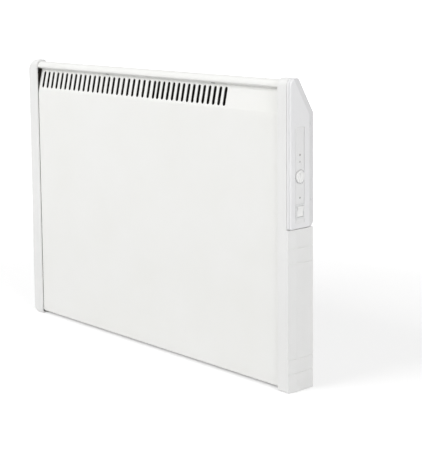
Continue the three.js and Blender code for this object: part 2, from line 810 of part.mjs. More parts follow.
// A low disc over the label strip, on a hub that runs through the housing's wall.
const knobBack = podInnerWall + seat;
const knobSkirt = podFace - fasciaRecess + seat + fasciaThick + knobGap;

function thermostatKnob() {
  const body = turned([
    [knobBack, 0],
    [knobBack, hubRadius],
    [knobSkirt, hubRadius],
    [knobSkirt, knobRadius],
    [knobFace - knobEdge, knobRadius],
    [knobFace - knobEdge / 3, knobRadius - knobEdge / 3],
    [knobFace, knobRadius - knobEdge],
    [knobFace, 0],
  ], 'x', [0, controlLine, knobHeight], knobSides);
  const dip = (side) => {
    const flat = side > 0 ? [gripWidth / 2, far] : [-far, -gripWidth / 2];
    return common(
      block(knobFace - gripDip, knobFace + over, controlLine + flat[0], controlLine + flat[1],
        knobHeight - far, knobHeight + far),
      pin('x', knobRadius - gripRim, -gripDip - over, over,
        [knobFace, controlLine, knobHeight], knobSides));
  };
  const pointer = block(
    knobFace - pointerDepth, knobFace + over, controlLine - pointerWidth / 2,
    controlLine + pointerWidth / 2, knobHeight + pointerStart, knobHeight + knobRadius);
  return cut(body, dip(1), dip(-1), pointer, spindleBore());
}

// Spindle with a D flat, and the bore that takes it.
function spindle(grow, from, to) {
  const radius = spindleRadius + grow;
  const round = pin('x', radius, from, to, [0, controlLine, knobHeight]);
  const flat = block(
    knobBack, far, -far, far, knobHeight + spindleRadius - spindleFlat + grow, far);
  return cut(round, flat);
}

const spindleBore = () => spindle(seat, knobBack - over, knobBack + spindleGrip + seat);
const potFace = podInnerWall - seat;
const potBack = podInnerWall - boardBack + seat * 2;
const spindleBack = potBack + sheet;

add('thermostat_knob', thermostatKnob(), whitePlastic());
add('knob_spindle', spindle(0, spindleBack, knobBack + spindleGrip), palePlastic());

function potentiometer() {
  return cut(
    pin('x', potRadius, potBack, potFace, [0, controlLine, knobHeight]),
    pin('x', spindleRadius + seat, spindleBack - seat, far, [0, controlLine, knobHeight]));
}

add('thermostat_potentiometer', potentiometer(), blackPlastic());

// ---------- Control board ----------

const boardFace = podInnerWall - boardBack; // side towards the housing

function controlBoard() {
  const edge = capWall + windowMargin + boardMargin;
  const board = prism(
    rectangle(edge, bodyDepth - edge, boardBottom, boardTop, boardRadius), 'x',
    boardFace - boardThick, boardFace);
  const holes = boardScrewHeights.map((z) =>
    pin('x', screwRadius + seat, -boardThick - over, over, [boardFace, boardScrewLine, z],
      holeSides));
  return cut(board, ...holes);
}

add('control_board', controlBoard(), finish(0x2f5d3a, 0.5));

boardScrewHeights.forEach((z, i) => add(
  ['lower_board_screw', 'upper_board_screw'][i],
  panScrew('x', 1, [boardFace - boardThick - seat, boardScrewLine, z],
    boardThick + boardBack - bossStop),
  brightSteel()));

function controlRelay() {
  const back = boardFace - boardThick - seat;
  const top = boardTop - relayDrop;
  return block(
    back - relayDeep, back, (bodyDepth - relayWide) / 2, (bodyDepth + relayWide) / 2,
    top - relayTall, top);
}

add('control_relay', controlRelay(), blackPlastic());

// ---------- Indicator lamps ----------

function lampLens(z) {
  const fasciaFace = podFace - fasciaRecess + seat + fasciaThick;
  const profile = [
    [podInnerWall - seat - lampFlangeThick, 0],
    [podInnerWall - seat - lampFlangeThick, lampFlange],
    [podInnerWall - seat, lampFlange],
    [podInnerWall - seat, lampRadius],
    [fasciaFace, lampRadius],
    [fasciaFace + lampProud * 0.75, lampRadius * 0.7],
    [fasciaFace + lampProud, 0],
  ];
  return turned(profile, 'x', [0, controlLine, z], holeSides);
}

const lampColours = [0x4b5d4c, 0xc9cbc6, 0x5a3a36];
lampHeights.forEach((z, i) =>
  add(lampNames[i], lampLens(z), finish(lampColours[i], 0.25)));

// ---------- Rocker switch ----------

const rockerSeat = podFace - fasciaRecess + seat + fasciaThick + seat; // under its flange
const rockerFace = rockerSeat + rockerFlangeThick;
const pivotX = rockerFace - keyDepth + keyRise;

function rockerBody() {
  const rim = prism(
    rectangle(controlLine - rockerWide / 2 - rockerFlange,
      controlLine + rockerWide / 2 + rockerFlange, rockerHeight - rockerTall / 2 - rockerFlange,
      rockerHeight + rockerTall / 2 + rockerFlange, rockerFlangeRadius), 'x', rockerSeat,
    rockerFace);
  const barrel = block(
    rockerFace - rockerBodyDepth, rockerFace, controlLine - rockerWide / 2,
    controlLine + rockerWide / 2, rockerHeight - rockerTall / 2, rockerHeight + rockerTall / 2);
  const well = block(
    rockerFace - rockerBodyDepth + rockerFloor, far, controlLine - keyWidth / 2 - keyGap,
    controlLine + keyWidth / 2 + keyGap, rockerHeight - keyTall / 2 - rockerGap,
    rockerHeight + keyTall / 2 + rockerGap);
  const pinHole = pin(
    'y', pinRadius + seat, -far, far, [pivotX, controlLine, rockerHeight], holeSides);
  return cut(join(rim, barrel), well, pinHole);
}

// The key is drawn level and turned to rest with its lower half pressed in.
function rockerKey() {
  const tip = pivotX + keyDepth;
  const half = keyTall / 2;
  const section = new THREE.Shape([
    point(pivotX - keyHeel, -keyHeelHalf),
    point(pivotX - keyHeel, keyHeelHalf),
    point(pivotX + keyShoulder, half - keyTaper),
    point(tip - keyTip, half),
    point(tip, half - keyTip),
    point(tip - keyDish, 0),
    point(tip, -half + keyTip),
    point(tip - keyTip, -half),
    point(pivotX + keyShoulder, -half + keyTaper),
  ].reverse());
  const level = cut(
    prism(section, 'y', -keyWidth / 2, keyWidth / 2),
    pin('y', pinRadius + seat, -far, far, [pivotX, 0, 0], holeSides));
  const geometry = geometryOf(level);
  geometry.translate(-pivotX, 0, 0);
  geometry.rotateY(THREE.MathUtils.degToRad(keyTilt));
  return solid(geometry.translate(pivotX, controlLine, rockerHeight));
}

add('rocker_body', rockerBody(), palePlastic());
add('rocker_key', rockerKey(), whitePlastic());
add('rocker_pin',
  pin('y', pinRadius, pinSetback - rockerWide / 2, rockerWide / 2 - pinSetback,
    [pivotX, controlLine, rockerHeight], holeSides),
  brightSteel());

// ---------- Heating element ----------

const elementLeft = left + elementStart;
const elementRight = right - elementEnd;
const elementMiddle = (casingInset + sheet + casingInside) / 2;
const shieldLine = casingInside - shieldGap;

// Extruded aluminium: a round hub with four ribbed fins in a tall cross, open at its bore.
function heatingElement() {
  const tall = finReachZ;
  const wide = shieldLine - shieldThick / 2 - finGap - elementMiddle;
  const parts = [pin('x', sleeveRadius, elementLeft, elementRight, [0, 0, 0])];
  [[1, 1], [1, -1], [-1, 1], [-1, -1]].forEach(([sy, sz]) => {
    const fin = new THREE.Shape([
      point(0, 0),
      point(sy * finThick, 0),
      point(sy * wide, sz * (tall - finThick)),
      point(sy * wide, sz * tall),
      point(sy * (wide - finThick), sz * tall),
      point(0, sz * finThick * 2),
    ]);
    parts.push(prism(fin, 'x', elementLeft, elementRight));
    for (let k = 1; k <= finRibCount; k += 1) {
      const z = sz * finRibPitch * k;
      const y = wide * sy * finRibPitch * k / tall;
      parts.push(block(
        elementLeft, elementRight, Math.min(y, y - sy * finRibLength),
        Math.max(y, y - sy * finRibLength), z - finRibThick / 2, z + finRibThick / 2));
    }
  });
  const bore = pin('x', rodRadius + seat, elementLeft - over, elementRight + over, [0, 0, 0]);
  return cut(join(...parts), bore).translate([0, elementMiddle, elementHeight]);
}

add('heating_element', heatingElement(), aluminium());
add('heating_rod',
  pin('x', rodRadius, elementLeft - rodReach, elementRight + rodReach,
    [0, elementMiddle, elementHeight]),
  brightSteel());

// Brackets: a plate across the casing, and a foot along its back.
function elementBracket(x, away) {
  const low = elementHeight - bracketHalf;
  const high = elementHeight + bracketHalf;
  const back = casingInside - seat;
  const section = foldedShape([
    point(x, casingInset + sheet + bracketFront),
    point(x, back - bracketThick / 2),
    point(x + away * bracketFoot, back - bracketThick / 2),
  ], [0, bracketThick, 0], bracketThick);
  const hole = pin(
    'x', bushNeck + seat, -bracketThick, bracketThick, [x, elementMiddle, elementHeight]);
  return cut(prism(section, 'z', low, high), hole);
}

// Bushes: a ceramic sleeve through the bracket with a shoulder on the element's side.
function elementBush(x, away) {
  const half = bracketThick / 2 + seat;
  const profile = [
    [-half - bushShoulder, rodRadius + seat],
    [-half - bushShoulder, bushRadius],
    [-half, bushRadius],
    [-half, bushNeck],
    [half + bushTail, bushNeck],
    [half + bushTail, rodRadius + seat],
    [-half - bushShoulder, rodRadius + seat],
  ].map(([along, radius]) => [along * away, radius]);
  return turned(away > 0 ? profile : profile.reverse(), 'x', [x, elementMiddle, elementHeight]);
}

[['left', elementLeft - bracketGap, -1], ['right', elementRight + bracketGap, 1]]
  .forEach(([side, x, away]) => {
    add(`${side}_element_bracket`, elementBracket(x, away), galvanised());
    add(`${side}_element_bush`, elementBush(x, away), finish(0xd8d2c4, 0.6));
  });

// ---------- Heat shield and cut-out ----------

const shieldTop = hangerHeight - hangerTall / 2 - shieldDrop;

function heatShield() {
  const section = foldedShape([
    point(casingInside - seat - shieldThick / 2, shieldBottom - shieldFoot),
    point(casingInside - seat - shieldThick / 2, shieldBottom),
    point(shieldLine, shieldBottom + shieldGap),
    point(shieldLine, shieldTop - shieldGap),
    point(casingInside - seat - shieldThick / 2, shieldTop),
    point(casingInside - seat - shieldThick / 2, shieldTop + shieldFoot),
  ], [0, ...Array(4).fill(shieldBend), 0], shieldThick);
  return prism(section, 'x', elementLeft - shieldOver, elementRight + shieldOver);
}

add('heat_shield', heatShield(), aluminium());

function thermalCutout() {
  const face = shieldLine - shieldThick / 2 - seat;
  const x = right - cutoutInset;
  const disc = pin('y', cutoutRadius, -cutoutThick, 0, [x, face, cutoutHeight]);
  const reach = cutoutRadius + cutoutEar;
  const ears = block(
    x - reach, x + reach, face - cutoutEarThick, face, cutoutHeight - cutoutEarTall / 2,
    cutoutHeight + cutoutEarTall / 2);
  const button = pin(
    'y', cutoutButton, -cutoutThick - cutoutButtonRise, -cutoutThick / 2,
    [x, face, cutoutHeight]);
  return join(disc, ears, button);
}

add('thermal_cutout', thermalCutout(), brightSteel());

// ---------- Mains connection ----------

function terminalBlock() {
  const x = right - terminalInset;
  const back = casingInside - seat;
  const low = terminalHeight - terminalTall / 2;
  const body = block(
    x - terminalWidth / 2, x + terminalWidth / 2, back - terminalDepth, back, low,
    low + terminalTall);
  const pitch = terminalWidth / terminalWayCount;
  const ways = Array.from({ length: terminalWayCount }, (_, k) => {
    const way = x + (k - (terminalWayCount - 1) / 2) * pitch;
    return join(
      pin('z', terminalWireRadius, -over, terminalTall + over,
        [way, back - terminalDepth / 2, low], holeSides),
      pin('y', terminalScrewRadius, -terminalDepth - over, -terminalDepth / 2,
        [way, back, terminalHeight], holeSides));
  });
  return cut(body, ...ways);
}

add('terminal_block', terminalBlock(), finish(0xe4e1d6, 0.5));

// A rubber bush snapped into the casing's back, open for the mains cord.
function cordInletBush() {
  const profile = [
    [-sheet - seat - inletTail, inletBore],
    [-sheet - seat - inletTail, inletOuter],
    [-sheet - seat, inletOuter],
    [-sheet - seat, inletWaist],
    [seat, inletWaist],
    [seat, inletOuter],
    [casingInset - seat, inletOuter - inletTaper],
    [casingInset - seat, inletBore],
    [-sheet - seat - inletTail, inletBore],
  ];
  return turned(profile, 'y', [right - inletInset, casingBack, inletHeight]);
}

add('cord_inlet_bush', cordInletBush(), finish(0x2a2a2c, 0.8));

// ---------- Fasteners ----------

capScrewPlaces.forEach(({ name, x, z }) =>
  add(name, flushScrew('y', -1, [x, bodyDepth, z]), brightSteel()));

panelScrewPlaces.forEach((x, i) => add(
  ['left_panel_screw', 'middle_panel_screw', 'right_panel_screw'][i],
  panScrew('z', 1, [x, panelScrewLine, panelBottom - seat],
    2 * (sheet + seat) + panelScrewReach),
  brightSteel()));

// Origin under the middle of the whole object, on the surface it stands on.
model.position.set(-(left + knobFace) / 2, -bodyDepth / 2, 0);

export default model;
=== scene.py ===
# Slim electric panel heater, dressed round its frame. Metres: X runs along the heater towards
# the thermostat, Y from the slotted front to the wall, Z up.

import math

import bmesh
import bpy
from mathutils import Matrix, Vector


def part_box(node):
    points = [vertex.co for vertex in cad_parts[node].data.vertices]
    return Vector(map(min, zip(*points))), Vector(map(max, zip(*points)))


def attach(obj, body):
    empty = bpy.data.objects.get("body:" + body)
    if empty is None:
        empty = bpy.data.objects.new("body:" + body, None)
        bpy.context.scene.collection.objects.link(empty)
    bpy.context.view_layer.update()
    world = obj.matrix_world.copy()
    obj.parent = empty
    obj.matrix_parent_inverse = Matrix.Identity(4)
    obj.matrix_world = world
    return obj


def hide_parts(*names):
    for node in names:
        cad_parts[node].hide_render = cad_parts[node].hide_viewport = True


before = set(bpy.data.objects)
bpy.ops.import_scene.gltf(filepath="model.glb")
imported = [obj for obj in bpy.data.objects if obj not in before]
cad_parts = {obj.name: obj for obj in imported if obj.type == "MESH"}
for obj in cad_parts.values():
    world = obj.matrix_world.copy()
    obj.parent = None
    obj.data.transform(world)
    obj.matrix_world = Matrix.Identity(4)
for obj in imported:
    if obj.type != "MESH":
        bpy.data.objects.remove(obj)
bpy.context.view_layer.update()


# ----------------------------------------
# Left end cap
# A white moulded shell that closes the casing's left end. It is open towards the panel, its
# outer corners are well rounded, and two flush screws hold it to the casing's back.
# ----------------------------------------

mm = 0.001
top_flat = 15.5 * mm
slope_drop = 41 * mm
nose_radius = 9 * mm
head_radius = 3 * mm
edge_radius = 2 * mm
least_radius = 0.2 * mm
cap_wall = 2.2 * mm
left_corner_radius = 12 * mm
left_plan_radius = 4 * mm
left_corner_steps = 12
left_edge_round = 0.35 * mm
screw_radius = 1.6 * mm
screw_head = 3.1 * mm
fit_room = 0.3 * mm
overcut = 1 * mm
sliver = 0.02 * mm
same_place = 1e-6
gloss_drift = 0.06
grain_strength = 0.5

left_lo, left_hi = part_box("left_end_cap")
right_lo, right_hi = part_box("right_end_cap")
front, back, top = left_lo.y, left_hi.y, left_hi.z
cap_radii = [edge_radius, edge_radius, head_radius, head_radius, nose_radius]


def linear(level):
    """A display level from 0 to 255 as the linear value that a shader takes."""
    share = level / 255
    return share / 12.92 if share <= 0.04045 else ((share + 0.055) / 1.055) ** 2.4


def colour(red, green, blue):
    return (linear(red), linear(green), linear(blue), 1)


def noise(nodes, links, place, scale, detail, stretch):
    """A noise pattern in the object's own coordinates, stretched along any of them."""
    mapping = nodes.new("ShaderNodeMapping")
    mapping.inputs["Scale"].default_value = stretch
    links.new(place.outputs["Object"], mapping.inputs["Vector"])
    texture = nodes.new("ShaderNodeTexNoise")
    texture.inputs["Scale"].default_value = scale
    texture.inputs["Detail"].default_value = detail
    links.new(mapping.outputs["Vector"], texture.inputs["Vector"])
    return texture.outputs["Fac"]


def between(nodes, links, value, low, high, start=0.3, end=0.7):
    """A value spread over a range from low to high, by default the middle of a noise pattern."""
    spread = nodes.new("ShaderNodeMapRange")
    spread.inputs["From Min"].default_value = start
    spread.inputs["From Max"].default_value = end
    spread.inputs["To Min"].default_value = low
    spread.inputs["To Max"].default_value = high
    links.new(value, spread.inputs["Value"])
    return spread.outputs["Result"]


def finish(name, light, shade, roughness, grain, depth, patch=14, metal=0, stretch=(1, 1, 1)):
    """A surface whose colour drifts from light to shade, with a grain in its gloss and bump."""
    material = bpy.data.materials.new(name)
    material.use_nodes = True
    nodes, links = material.node_tree.nodes, material.node_tree.links
    shader = nodes["Principled BSDF"]
    shader.inputs["Metallic"].default_value = metal
    place = nodes.new("ShaderNodeTexCoord")

    drift = nodes.new("ShaderNodeMix")
    drift.data_type = "RGBA"
    drift.inputs["A"].default_value = shade
    drift.inputs["B"].default_value = light
    patches = noise(nodes, links, place, patch, 2, stretch)
    links.new(between(nodes, links, patches, 0, 1), drift.inputs["Factor"])
    links.new(drift.outputs["Result"], shader.inputs["Base Color"])

    grains = noise(nodes, links, place, grain, 4, stretch)
    links.new(
        between(nodes, links, grains, roughness - gloss_drift, roughness + gloss_drift),
        shader.inputs["Roughness"])
    bump = nodes.new("ShaderNodeBump")
    bump.inputs["Strength"].default_value = grain_strength
    bump.inputs["Distance"].default_value = depth
    links.new(grains, bump.inputs["Height"])
    links.new(bump.outputs["Normal"], shader.inputs["Normal"])
    return material


def moved_in(corners, distance):
    """The corners of an anticlockwise outline, moved inwards."""
    moved = []
    for i, corner in enumerate(corners):
        here = Vector(corner)
        into = (here - Vector(corners[i - 1])).normalized()
        out = (Vector(corners[(i + 1) % len(corners)]) - here).normalized()
        moved.append(here + (out - into) * distance / into.cross(out))
    return moved


def verts_of(geom):
    return [item for item in geom if isinstance(item, bmesh.types.BMVert)]


def edges_of(geom):
    return [item for item in geom if isinstance(item, bmesh.types.BMEdge)]


def rounded_face(bm, corners, radii, x, segments=12):
    """A face across X at x, from its (y, z) corners, with a radius at each."""
    verts = [bm.verts.new((x, y, z)) for y, z in corners]
    bm.faces.new(verts)
    for i, (vert, radius) in enumerate(zip(verts, radii)):
        if radius == 0:
            continue
        into = Vector(corners[i]) - Vector(corners[i - 1])
        out = Vector(corners[(i + 1) % len(corners)]) - Vector(corners[i])
        bmesh.ops.bevel(
            bm, geom=[vert], offset=radius * math.tan(into.angle(out) / 2), affect="VERTICES",
            segments=segments, profile=0.5, material=-1)
    bm.faces.ensure_lookup_table()
    return bm.faces[-1]


def pulled(bm, face, step):
    """Extrudes a face by a step, open behind where it closed a form, and gives the new end."""
    closes = all(len(edge.link_faces) > 1 for edge in face.edges)
    drawn = bmesh.ops.extrude_face_region(bm, geom=[face])["geom"]
    bmesh.ops.translate(bm, verts=verts_of(drawn), vec=step)
    if closes:
        bmesh.ops.delete(bm, geom=[face], context="FACES_ONLY")
    return next(item for item in drawn if isinstance(item, bmesh.types.BMFace))


def slab(corners, radii, x0, x1, segments=12):
    """A closed block along X with a rounded outline across it."""
    bm = bmesh.new()
    pulled(bm, rounded_face(bm, corners, radii, x0, segments), (x1 - x0, 0, 0))
    bmesh.ops.recalc_face_normals(bm, faces=bm.faces)
    return bm


def made(name, bm, *materials, sharp=35):
    """A piece from a finished bmesh, smooth but for edges sharper than an angle in degrees."""
    mesh = bpy.data.meshes.new(name)
    bm.to_mesh(mesh)
    bm.free()
    mesh.shade_smooth()
    mesh.set_sharp_from_angle(angle=math.radians(sharp))
    for material in materials:
        mesh.materials.append(material)
    piece = bpy.data.objects.new(name, mesh)
    bpy.context.scene.collection.objects.link(piece)
    return piece


def settled(piece):
    """Applies a piece's modifiers, in order."""
    bpy.context.view_layer.update()
    shown = piece.evaluated_get(bpy.context.evaluated_depsgraph_get())
    mesh = bpy.data.meshes.new_from_object(shown)
    piece.modifiers.clear()
    piece.data = mesh


def carved(piece, *cutters):
    """Cuts closed shapes, each a bmesh, out of a piece."""
    tools = [made("cutter", bm) for bm in cutters]
    for tool in tools:
        boolean = piece.modifiers.new("cut", "BOOLEAN")
        boolean.operation = "DIFFERENCE"
        boolean.solver = "MANIFOLD"
        boolean.object = tool
    settled(piece)
    for tool in tools:
        bpy.data.objects.remove(tool)
    bm = bmesh.new()
    bm.from_mesh(piece.data)
    bmesh.ops.dissolve_degenerate(bm, dist=sliver, edges=bm.edges)
    bm.to_mesh(piece.data)
    bm.free()


def flat_lit(piece, sharp=35):
    """Keeps a piece's flat faces flat in the light, up to its sharp edges."""
    piece.data.shade_smooth()
    piece.data.set_sharp_from_angle(angle=math.radians(sharp))
    normals = piece.modifiers.new("normals", "WEIGHTED_NORMAL")
    normals.keep_sharp = True


def softened(piece, width, segments=2, limit=30, sharp=35, clamp=True):
    """Rounds a piece's sharp edges a little."""
    bevel = piece.modifiers.new("edges", "BEVEL")
    bevel.width = width
    bevel.segments = segments
    bevel.limit_method = "ANGLE"
    bevel.angle_limit = math.radians(limit)
    bevel.miter_outer = "MITER_ARC"
    bevel.use_clamp_overlap = clamp
    flat_lit(piece, sharp)


def fitted(piece, body, slot, *nodes):
    """Hangs a finished piece on its body in place of the frame's nodes."""
    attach(piece, body)
    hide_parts(*nodes)


def end_view(low):
    """Corners of the body's end view: upright front, short flat top, sloping head."""
    return [(front, low), (back, low), (back, top - slope_drop), (front + top_flat, top),
            (front, top)]


def turned(profile, axis, centre, steps=32):
    """A closed turned shape: (along, radius) pairs from axis to axis, spun about an axis."""
    bm = bmesh.new()
    along = Vector(axis)
    out = along.orthogonal().normalized()
    verts = [bm.verts.new(Vector(centre) + along * a + out * r) for a, r in profile]
    edges = [bm.edges.new(pair) for pair in zip(verts, verts[1:])]
    bmesh.ops.spin(
        bm, geom=verts + edges, cent=centre, axis=axis, angle=math.tau, steps=steps,
        use_merge=True)
    bmesh.ops.remove_doubles(bm, verts=bm.verts, dist=same_place)
    bmesh.ops.recalc_face_normals(bm, faces=bm.faces)
    return bm


def countersink(node):
    """The hole that a flush screw in a cap's back sits in, from the screw's own place."""
    low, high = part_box(node)
    length = high.y - low.y
    shank, head = screw_radius + fit_room, screw_head + fit_room
    return turned(
        [(-overcut / 2, 0), (-overcut / 2, shank), (length - screw_head + screw_radius, shank),
         (length, head), (length + overcut / 2, head), (length + overcut / 2, 0)],
        (0, 1, 0), ((low.x + high.x) / 2, low.y, (low.z + high.z) / 2), 24)


cap_plastic = finish(
    "cap_plastic", colour(236, 236, 235), colour(233, 233, 232), 0.42, 2600, 0.00006)


def left_form(inset, mouth):
    """The left cap as a closed form: its outer skin moved in by an inset, from its mouth out."""
    corners = [tuple(corner) for corner in moved_in(end_view(left_lo.z), inset)]
    radii = [max(radius - inset, least_radius) for radius in cap_radii]
    bm = bmesh.new()
    rounded_face(bm, corners, radii, mouth)
    end = pulled(bm, bm.faces[:][0], (left_lo.x + left_corner_radius - mouth, 0, 0))
    half_tall = (left_hi.z - left_lo.z) / 2
    half_deep = (back - front) / 2
    middle = Matrix.Translation((0, -(front + back) / 2, -(left_lo.z + half_tall)))
    corner, plan = left_corner_radius - inset, left_plan_radius - inset
    tall, deep, reach = half_tall - inset, half_deep - inset, 0
    for k in range(1, left_corner_steps + 1):
        angle = math.radians(90 * k / left_corner_steps)
        new_reach = corner * math.sin(angle)
        new_tall = half_tall - inset - corner * (1 - math.cos(angle))
        into = max(plan - (corner - new_reach), 0)
        new_deep = half_deep - inset - plan + math.sqrt(plan ** 2 - into ** 2)
        end = pulled(bm, end, (reach - new_reach, 0, 0))
        bmesh.ops.scale(
            bm, vec=(1, new_deep / deep, new_tall / tall), space=middle, verts=end.verts)
        tall, deep, reach = new_tall, new_deep, new_reach
    bmesh.ops.recalc_face_normals(bm, faces=bm.faces)
    return bm


left_cap = made("left_cap_shell", left_form(0, left_hi.x), cap_plastic)
carved(left_cap, left_form(cap_wall, left_hi.x + overcut), countersink("left_cap_screw_lower"),
       countersink("left_cap_screw_upper"))
softened(left_cap, left_edge_round)
fitted(left_cap, "heater", "white_plastic", "left_end_cap")


# ----------------------------------------
# Right end cap
# The same moulding on the thermostat's side, with a long chamfer down its front corner and four
# fine grooves. Its outer wall is set back behind the control housing, with a window through it.
# ----------------------------------------

chamfer_side = 12.5 * mm
chamfer_front = 2.1 * mm
groove_width = 1 * mm
groove_depth = 0.6 * mm
groove_heights = [23 * mm, 40.3 * mm, 153.7 * mm, 171.8 * mm]
chamfer_sharp = 9
right_edge_round = 0.25 * mm
pod_lip = 4.1 * mm
window_margin = 5 * mm
window_rise = 11.6 * mm
window_drop = 52 * mm
window_reach = 5 * mm

pod_lo, pod_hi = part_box("control_housing")
pod_inner = right_hi.x - pod_lip


def framed(x0, x1, low, high, radius=0):
    """A block along X between two (y, z) corners, with its other edges rounded."""
    return slab([low, (high[0], low[1]), high, (low[0], high[1])], [radius] * 4, x0, x1, 8)


def right_form(inset, mouth):
    """The right cap as a closed form without its grooves, its skin moved in by an inset."""
    corners = [tuple(corner) for corner in moved_in(end_view(right_lo.z), inset)]
    radii = [max(radius - inset, least_radius) for radius in cap_radii]
    pocket = pod_inner - fit_room - inset
    shoulder = right_hi.x - chamfer_front - inset
    bm = bmesh.new()
    rounded_face(bm, corners, radii, mouth)
    wall_face = pulled(bm, bm.faces[:][0], (pocket - mouth, 0, 0))
    split = bmesh.ops.bisect_plane(
        bm, geom=[wall_face, *wall_face.edges, *wall_face.verts],
        plane_co=(0, 0, pod_lo.z - fit_room - inset), plane_no=(0, 0, 1))
    lower = min(
        (item for item in split["geom"] if isinstance(item, bmesh.types.BMFace)),
        key=lambda face: face.calc_center_median().z)
    side = pulled(bm, pulled(bm, lower, (shoulder - pocket, 0, 0)), (chamfer_front, 0, 0))
    deep = back - front - 2 * inset
    bmesh.ops.scale(
        bm, vec=(1, 1 - chamfer_side / deep, 1), space=Matrix.Translation((0, inset - back, 0)),
        verts=side.verts)
    bmesh.ops.recalc_face_normals(bm, faces=bm.faces)
    return bm


def groove_cutter(height):
    """A thin plate that cuts a groove of even depth along the chamfer and the side."""
    bottom, beyond = right_hi.x - groove_depth, right_hi.x + overcut
    lead = chamfer_front / chamfer_side * overcut
    bm = bmesh.new()
    verts = [
        bm.verts.new((x, y, height - groove_width / 2)) for x, y in (
            (bottom, back + overcut), (bottom, front + chamfer_side),
            (bottom - chamfer_front - lead, front - overcut), (beyond, front - overcut),
            (beyond, back + overcut))]
    pulled(bm, bm.faces.new(verts), (0, 0, groove_width))
    bmesh.ops.recalc_face_normals(bm, faces=bm.faces)
    return bm


right_cap = made("right_cap_shell", right_form(0, right_lo.x), cap_plastic, sharp=chamfer_sharp)
window = framed(
    pod_inner - window_reach, pod_inner + window_reach,
    (front + cap_wall + window_margin, pod_lo.z + window_rise),
    (back - cap_wall - window_margin, top - window_drop))
carved(right_cap, right_form(cap_wall, right_lo.x - overcut),
       countersink("right_cap_screw_lower"), countersink("right_cap_screw_upper"),
       *[groove_cutter(height) for height in groove_heights], window)
softened(right_cap, right_edge_round, sharp=chamfer_sharp)
fitted(right_cap, "heater", "white_plastic", "right_end_cap")


# ----------------------------------------
# Front panel
# One millimetre sheet steel, powder coated. Its top strip leans back under the casing's rail and
# is punched with the round-ended slots that let the warm air out. Its foot is folded in, and one
# corner of it is cropped.
# ----------------------------------------

sheet = 1 * mm
sheet_edge_round = 0.2 * mm
lean_drop = 45 * mm
lean_slope = math.tan(math.radians(12.6))
panel_flange = 13 * mm
lean_round = 4 * mm
foot_round = 1.6 * mm
corner_crop = 3.4 * mm
slot_width = 5.1 * mm
slot_height = 22.8 * mm
slot_drop = 27.8 * mm
first_slot = 30.8 * mm
slot_pitch, left_slots = 10.48 * mm, 24
right_slot_pitch, right_slots = 9.52 * mm, 14
slot_group_gap = 8.4 * mm
slot_steps = 20

panel_lo, panel_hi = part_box("front_panel")
lean_start = top - lean_drop
slot_middle = top - slot_drop
slot_places = [left_lo.x + first_slot + slot_pitch * k for k in range(left_slots)]
right_group = slot_places[-1] + slot_group_gap
slot_places += [right_group + right_slot_pitch * k for k in range(right_slots)]

paint = finish(
    "white_powder_coat", colour(240, 240, 238), colour(238, 238, 235), 0.45, 1500, 0.00005)

bm = bmesh.new()
upright = Matrix.Rotation(math.pi / 2, 4, "X") @ Matrix.Rotation(math.pi / slot_steps, 4, "Z")
widest = slot_width / 2 * math.cos(math.pi / slot_steps)
for before, x, after in zip(
        [slot_places[0] - slot_pitch] + slot_places, slot_places,
        slot_places[1:] + [slot_places[-1] + right_slot_pitch]):
    slot_rim = bmesh.ops.create_circle(
        bm, segments=slot_steps, radius=slot_width / 2,
        matrix=Matrix.Translation((x, panel_lo.y, slot_middle)) @ upright)["verts"]
    for v in slot_rim:
        v.co.z += math.copysign((slot_height - slot_width) / 2, v.co.z - slot_middle)
    edges = [e for e in bm.edges if e.verts[0] in slot_rim and e.verts[1] in slot_rim]
    for v in verts_of(bmesh.ops.extrude_edge_only(bm, edges=edges)["geom"]):
        share = (v.co.x - x) / widest
        v.co.x = x + share * (after - x if share > 0 else x - before) / 2
        v.co.z = panel_hi.z if v.co.z > slot_middle else lean_start
bmesh.ops.remove_doubles(bm, verts=bm.verts, dist=same_place)


def grown(bm, axis, start, way, end):
    """Draws the open edges that lie at a value of an axis out to an end along a way."""
    edges = [e for e in bm.edges if len(e.link_faces) == 1
             and all(abs(v.co[axis] - start) < same_place for v in e.verts)]
    for v in verts_of(bmesh.ops.extrude_edge_only(bm, edges=edges)["geom"]):
        v.co[way] = end


def folded(bm, y, z, offset, segments):
    """Rounds the fold of a sheet that runs along X at (y, z)."""
    fold = [e for e in bm.edges if len(e.link_faces) == 2
            and all(abs(v.co.y - y) < same_place and abs(v.co.z - z) < same_place
                    for v in e.verts)]
    bmesh.ops.bevel(
        bm, geom=fold, offset=offset, affect="EDGES", segments=segments, profile=0.5,
        material=-1)


def faced(bm, side):
    """Turns an open sheet so that its largest face looks towards a side of Y."""
    bmesh.ops.recalc_face_normals(bm, faces=bm.faces)
    if max(bm.faces, key=lambda face: face.calc_area()).normal.y * side < 0:
        bmesh.ops.reverse_faces(bm, faces=bm.faces)


grown(bm, 0, slot_places[0] - slot_pitch / 2, 0, panel_lo.x)
grown(bm, 0, slot_places[-1] + right_slot_pitch / 2, 0, panel_hi.x)
grown(bm, 2, lean_start, 2, panel_lo.z)
grown(bm, 2, panel_lo.z, 1, panel_lo.y + panel_flange)
for v in bm.verts:
    v.co.y += max(v.co.z - lean_start, 0) * lean_slope
folded(bm, panel_lo.y, lean_start, lean_round, 5)
folded(bm, panel_lo.y, panel_lo.z, foot_round, 5)
faced(bm, -1)


def walled(piece, wall):
    """Gives an open skin its wall, inwards from the outer face."""
    solidify = piece.modifiers.new("wall", "SOLIDIFY")
    solidify.thickness = wall
    solidify.offset = -1
    solidify.use_even_offset = True


